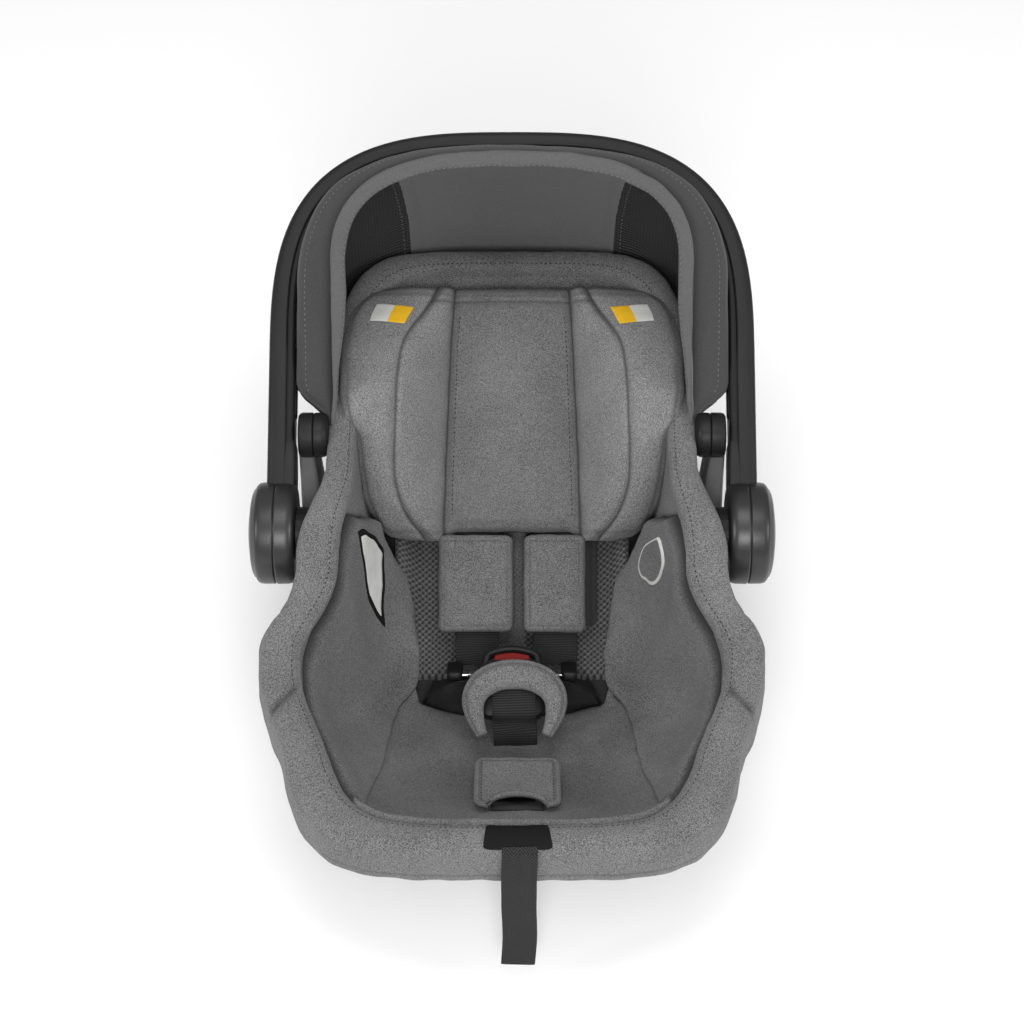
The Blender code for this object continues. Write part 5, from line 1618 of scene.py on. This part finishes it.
def add_handle():
    """Carry handle: a rounded bow with inner covers and a ribbed grip, on two round hubs."""
    frame_section = rounded_section(0.0, 0.0158, 0.0170, 0.0062, 0.0022)
    loops, x = handle_loops(frame_section, frame_shape, lambda x, along: np.abs(x) >= 0.0, 240)
    arm = add_loft("handle_bow", loops[:, ::-1], "charcoal", "handle", 50.0)
    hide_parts("handle_frame")
    cover_section = rounded_section(COVER_START, COVER_END, 0.0148, 0.0010, 0.0034)
    for side, sign in SIDES.items():
        loops, x = handle_loops(cover_section, cover_shape,
                                lambda x, along: (sign * x > GRIP_HALF) & (along > 0.062), 320)
        cover = add_loft("handle_inner_cover_" + side, taper_ends(loops)[:, ::-1], "black", "handle", 50.0)
        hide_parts("handle_cover_" + side)
        add_handle_slot(side, sign)
    loops, x = handle_loops(cover_section, cover_shape, lambda x, along: np.abs(x) < GRIP_HALF - 0.004, 320)
    ridges = np.cos(2.0 * pi * x / 0.0056) * smooth_step(GRIP_HALF - 0.016 - np.abs(x), 0.0, 0.006)
    centre = loops.mean(1, keepdims=True)
    loops = centre + (loops - centre) * (1.0 + 0.035 * ridges)[:, None, None]
    grip = add_loft("handle_soft_grip", taper_ends(loops)[:, ::-1], "grip", "handle", 50.0)
    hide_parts("handle_grip")
    for side, sign in SIDES.items():
        add_hub(side, sign)


def taper_ends(loops):
    """Rounded ends for a loft: the last four loops draw in towards their middle."""
    place = np.arange(len(loops))
    size = roll(np.minimum(place, place[::-1]) / 4 + 0.12, 1.0)
    centre = loops.mean(1, keepdims=True)
    return centre + (loops - centre) * (0.72 + 0.28 * size)[:, None, None]


def add_handle_slot(side, sign):
    """Shallow rounded slot on the inner face of the arm, drawn as a raised lip around a dark floor."""
    inner_face = sign * (HANDLE_HALF_WIDTH - COVER_END)
    outline = rounded_plate(0.0110, 0.0600, 0.0055, 48)

    def loop(share, above):
        x = inner_face - sign * (above + 0.0 * outline[:, 0])
        return swing_point(HUB, HANDLE_TILT, x, 0.128 + outline[:, 1] * share, outline[:, 0] * share)

    lip = sweep_loops(closed(loop(1.0, 0.0002)), circle(0.0009, 8), (sign, 0.0, 0.0))
    add_ring("handle_slot_lip_" + side, lip, "black", "handle")
    loops = np.array([loop(1.0, -0.0006), loop(1.0, 0.0002), loop(0.9, 0.0003)])
    add_loft("handle_slot_floor_" + side, loops[:, ::int(sign)], "grip", "handle", 40.0)


def add_hub(side, sign):
    """Inner half with its stem, outer cap with a bevelled face, and the button in it."""
    add_turned("hub_inner_" + side, HUB_INNER, sign, HUB, "hub", "handle", 96)
    cap = add_turned("hub_outer_cap_" + side, HUB_CAP, sign, HUB, "hub", "handle", 96)
    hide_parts("hub_cap_" + side)
    button = add_turned("hub_button_" + side, HUB_BUTTON, sign, HUB, "grey", side + "_button", 72)
    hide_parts("handle_button_" + side)
    outline = rounded_section(0.1812, 0.1966, 0.0165, 0.0030, 0.0030)
    middle = 0.1889
    loops = []
    for along, size in STEM_LEVELS:
        x = sign * (middle + (outline[:, 0] - middle) * size)
        loops.append(swing_point(HUB, HANDLE_TILT, x, along, outline[:, 1] * size))
    add_loft("hub_stem_" + side, np.array(loops)[:, ::int(sign)], "charcoal", "handle", 50.0)


# ---- small fittings -----------------------------------------------------------------------
# Labels as (row, column) places on the grid that carries them.
FRONT_LABEL = (362.0, 29.5, 23.6, 9.0)      # middle, then size
LEFT_LABEL = ((89.0, 5.0), (98.0, 9.0), (101.0, 14.0), (93.0, 19.0), (85.0, 21.0), (84.0, 15.0),
              (87.0, 10.0))
RIGHT_LABEL = ((96.0, 10.0), (90.5, 8.0), (85.0, 9.0), (85.5, 12.5), (89.0, 15.2), (95.0, 17.0),
               (98.6, 16.0), (98.8, 12.5))
WING_TAG = ((110.0, 59.8), (108.5, 49.6), (100.0, 48.8), (101.5, 59.0))


def smooth_loop(outline):
    """Rounded closed outline through a few points."""
    ring = np.array(outline + outline[:3], float)
    curve = smooth_curve(ring, 12 * (len(ring) - 1) + 1)
    return curve[12:12 * (len(outline) + 1)]


def shrunk(outline, share):
    """Outline drawn in towards its middle."""
    middle = outline.mean(0)
    return middle + (outline - middle) * share


def even_outline(outline, count):
    """Closed outline with its points spread evenly along it."""
    ring = np.vstack([outline, outline[:1]])
    run = run_along(ring)
    places = np.linspace(0.0, run[-1], count, endpoint=False)
    return np.stack([np.interp(places, run, ring[:, k]) for k in range(2)], -1)


def shape_patch(outline, place, name, look, body="root", lift=0.0006, thickness=0.0010):
    """Thin sewn patch with any outline, on a surface given by place(row, column, rise)."""
    outline = even_outline(np.array(outline, float), 80)
    levels = [(1.0, -thickness), (1.0, lift * 0.6)]
    levels += [(share, lift) for share in (0.97, 0.8, 0.6, 0.4, 0.2, 0.05)]
    loops = []
    for share, rise in levels:
        ring = shrunk(outline, share)
        loops.append(place(ring[:, 0], ring[:, 1], rise))
    return add_loft(name, np.array(loops), look, body, 40.0)


def grid_place(surface, normal):
    """Place on a made surface: row and column numbers, and height above it."""
    def place(row, column, rise):
        r = np.clip(np.asarray(row, float), 0, surface.shape[0] - 1.001)
        c = np.clip(np.asarray(column, float), 0, surface.shape[1] - 1.001)
        r0, c0 = r.astype(int), c.astype(int)
        fr, fc = (r - r0)[..., None], (c - c0)[..., None]
        def at(values):
            return ((values[r0, c0] * (1 - fr) + values[r0 + 1, c0] * fr) * (1 - fc)
                    + (values[r0, c0 + 1] * (1 - fr) + values[r0 + 1, c0 + 1] * fr) * fc)
        return at(surface) + at(normal) * rise
    return place


def rounded_square(corner, steps):
    """Outline of a unit square with rounded corners."""
    points = []
    for sx, sy, start in ((1, 1, 0), (-1, 1, 90), (-1, -1, 180), (1, -1, 270)):
        for k in range(steps):
            a = radians(start + 90.0 * k / (steps - 1))
            points.append((sx * (0.5 - corner) + corner * cos(a), sy * (0.5 - corner) + corner * sin(a)))
    return np.array(points)


def add_labels(cover, bolsters, headrest):
    """Blank sewn labels: on the bolsters, the headrest's wings and the front edge."""
    place = grid_place(*bolsters["left"])
    shape_patch(LEFT_LABEL, place, "bolster_label_left", "black_tag")
    shape_patch(shrunk(np.array(LEFT_LABEL), 0.80), place, "bolster_label_left_face", "white_tag",
                lift=0.0011)
    place = grid_place(*bolsters["right"])
    oval = smooth_loop(RIGHT_LABEL)
    shape_patch(oval, place, "bolster_label_right", "white_tag", lift=0.0014)
    # the label's face takes the painted-shade copy of the melange, as the bolster does
    shape_patch(shrunk(oval, 0.88), place, "bolster_label_right_face", "melange_painted_shade", lift=0.0019)
    place = grid_place(*headrest)
    middle = (headrest[0].shape[1] - 1) / 2.0
    top_out, top_in, low_in, low_out = (np.array(corner) for corner in WING_TAG)
    for side, sign in SIDES.items():
        for name, look, start, stop in (("outer", "white_tag", 0.0, 0.5), ("inner", "yellow_tag", 0.5, 1.0)):
            corners = [top_out + (top_in - top_out) * start, top_out + (top_in - top_out) * stop,
                       low_out + (low_in - low_out) * stop, low_out + (low_in - low_out) * start]
            box = [(row, middle + sign * column) for row, column in corners]
            shape_patch(box[::int(sign)], place, "wing_tag_" + side + "_" + name, look, "headrest")
    row, column, high, wide = FRONT_LABEL
    box = rounded_square(0.12, 8) * (high, wide) + (row, column)
    shape_patch(box, grid_place(*cover), "front_label", "black_tag", lift=0.0010, thickness=0.0020)


# Finer looks for the CAD parts that stay in view; the rest become black plastic.
NODE_LOOKS = {"foam": ("foam_liner",), "charcoal": ("hub_boss_left", "hub_boss_right"),
              "red": ("buckle_button",), "grey": ("release_lever", "adjuster_lever"),
              "steel": ("front_latch_bar", "rear_latch_bar", "lock_gear_left", "lock_gear_right",
                        "pivot_bolt_left", "pivot_bolt_right", "button_spring_left",
                        "button_spring_right", "harness_splitter")}


def repaint_nodes():
    looks = {name: look for look, names in NODE_LOOKS.items() for name in names}
    for name, node in frame["nodes"].items():
        if node.hide_render:
            continue
        material = MATERIALS[looks.get(name, "black")]
        if not node.data.materials:
            node.data.materials.append(material)
        for k in range(len(node.data.materials)):
            node.data.materials[k] = material


add_camera()
add_studio()
add_bucket()
cover = add_cover()
bolsters = {side_name: add_bolster(side_name, side_sign) for side_name, side_sign in SIDES.items()}
add_pan()
add_knit_back()
add_crease_shade_sheet()
headrest = add_headrest()
add_labels(cover, bolsters, headrest)
for side_name, side_sign in SIDES.items():
    add_shoulder_harness(side_name, side_sign)
    add_hip_strap(side_name, side_sign)
add_buckle()
add_crotch_pad()
add_adjuster_flap()
add_tail(cover)
add_canopy_rim()
add_canopy_seam()
add_canopy_cloth()
add_canopy_hubs()
add_handle()
repaint_nodes()
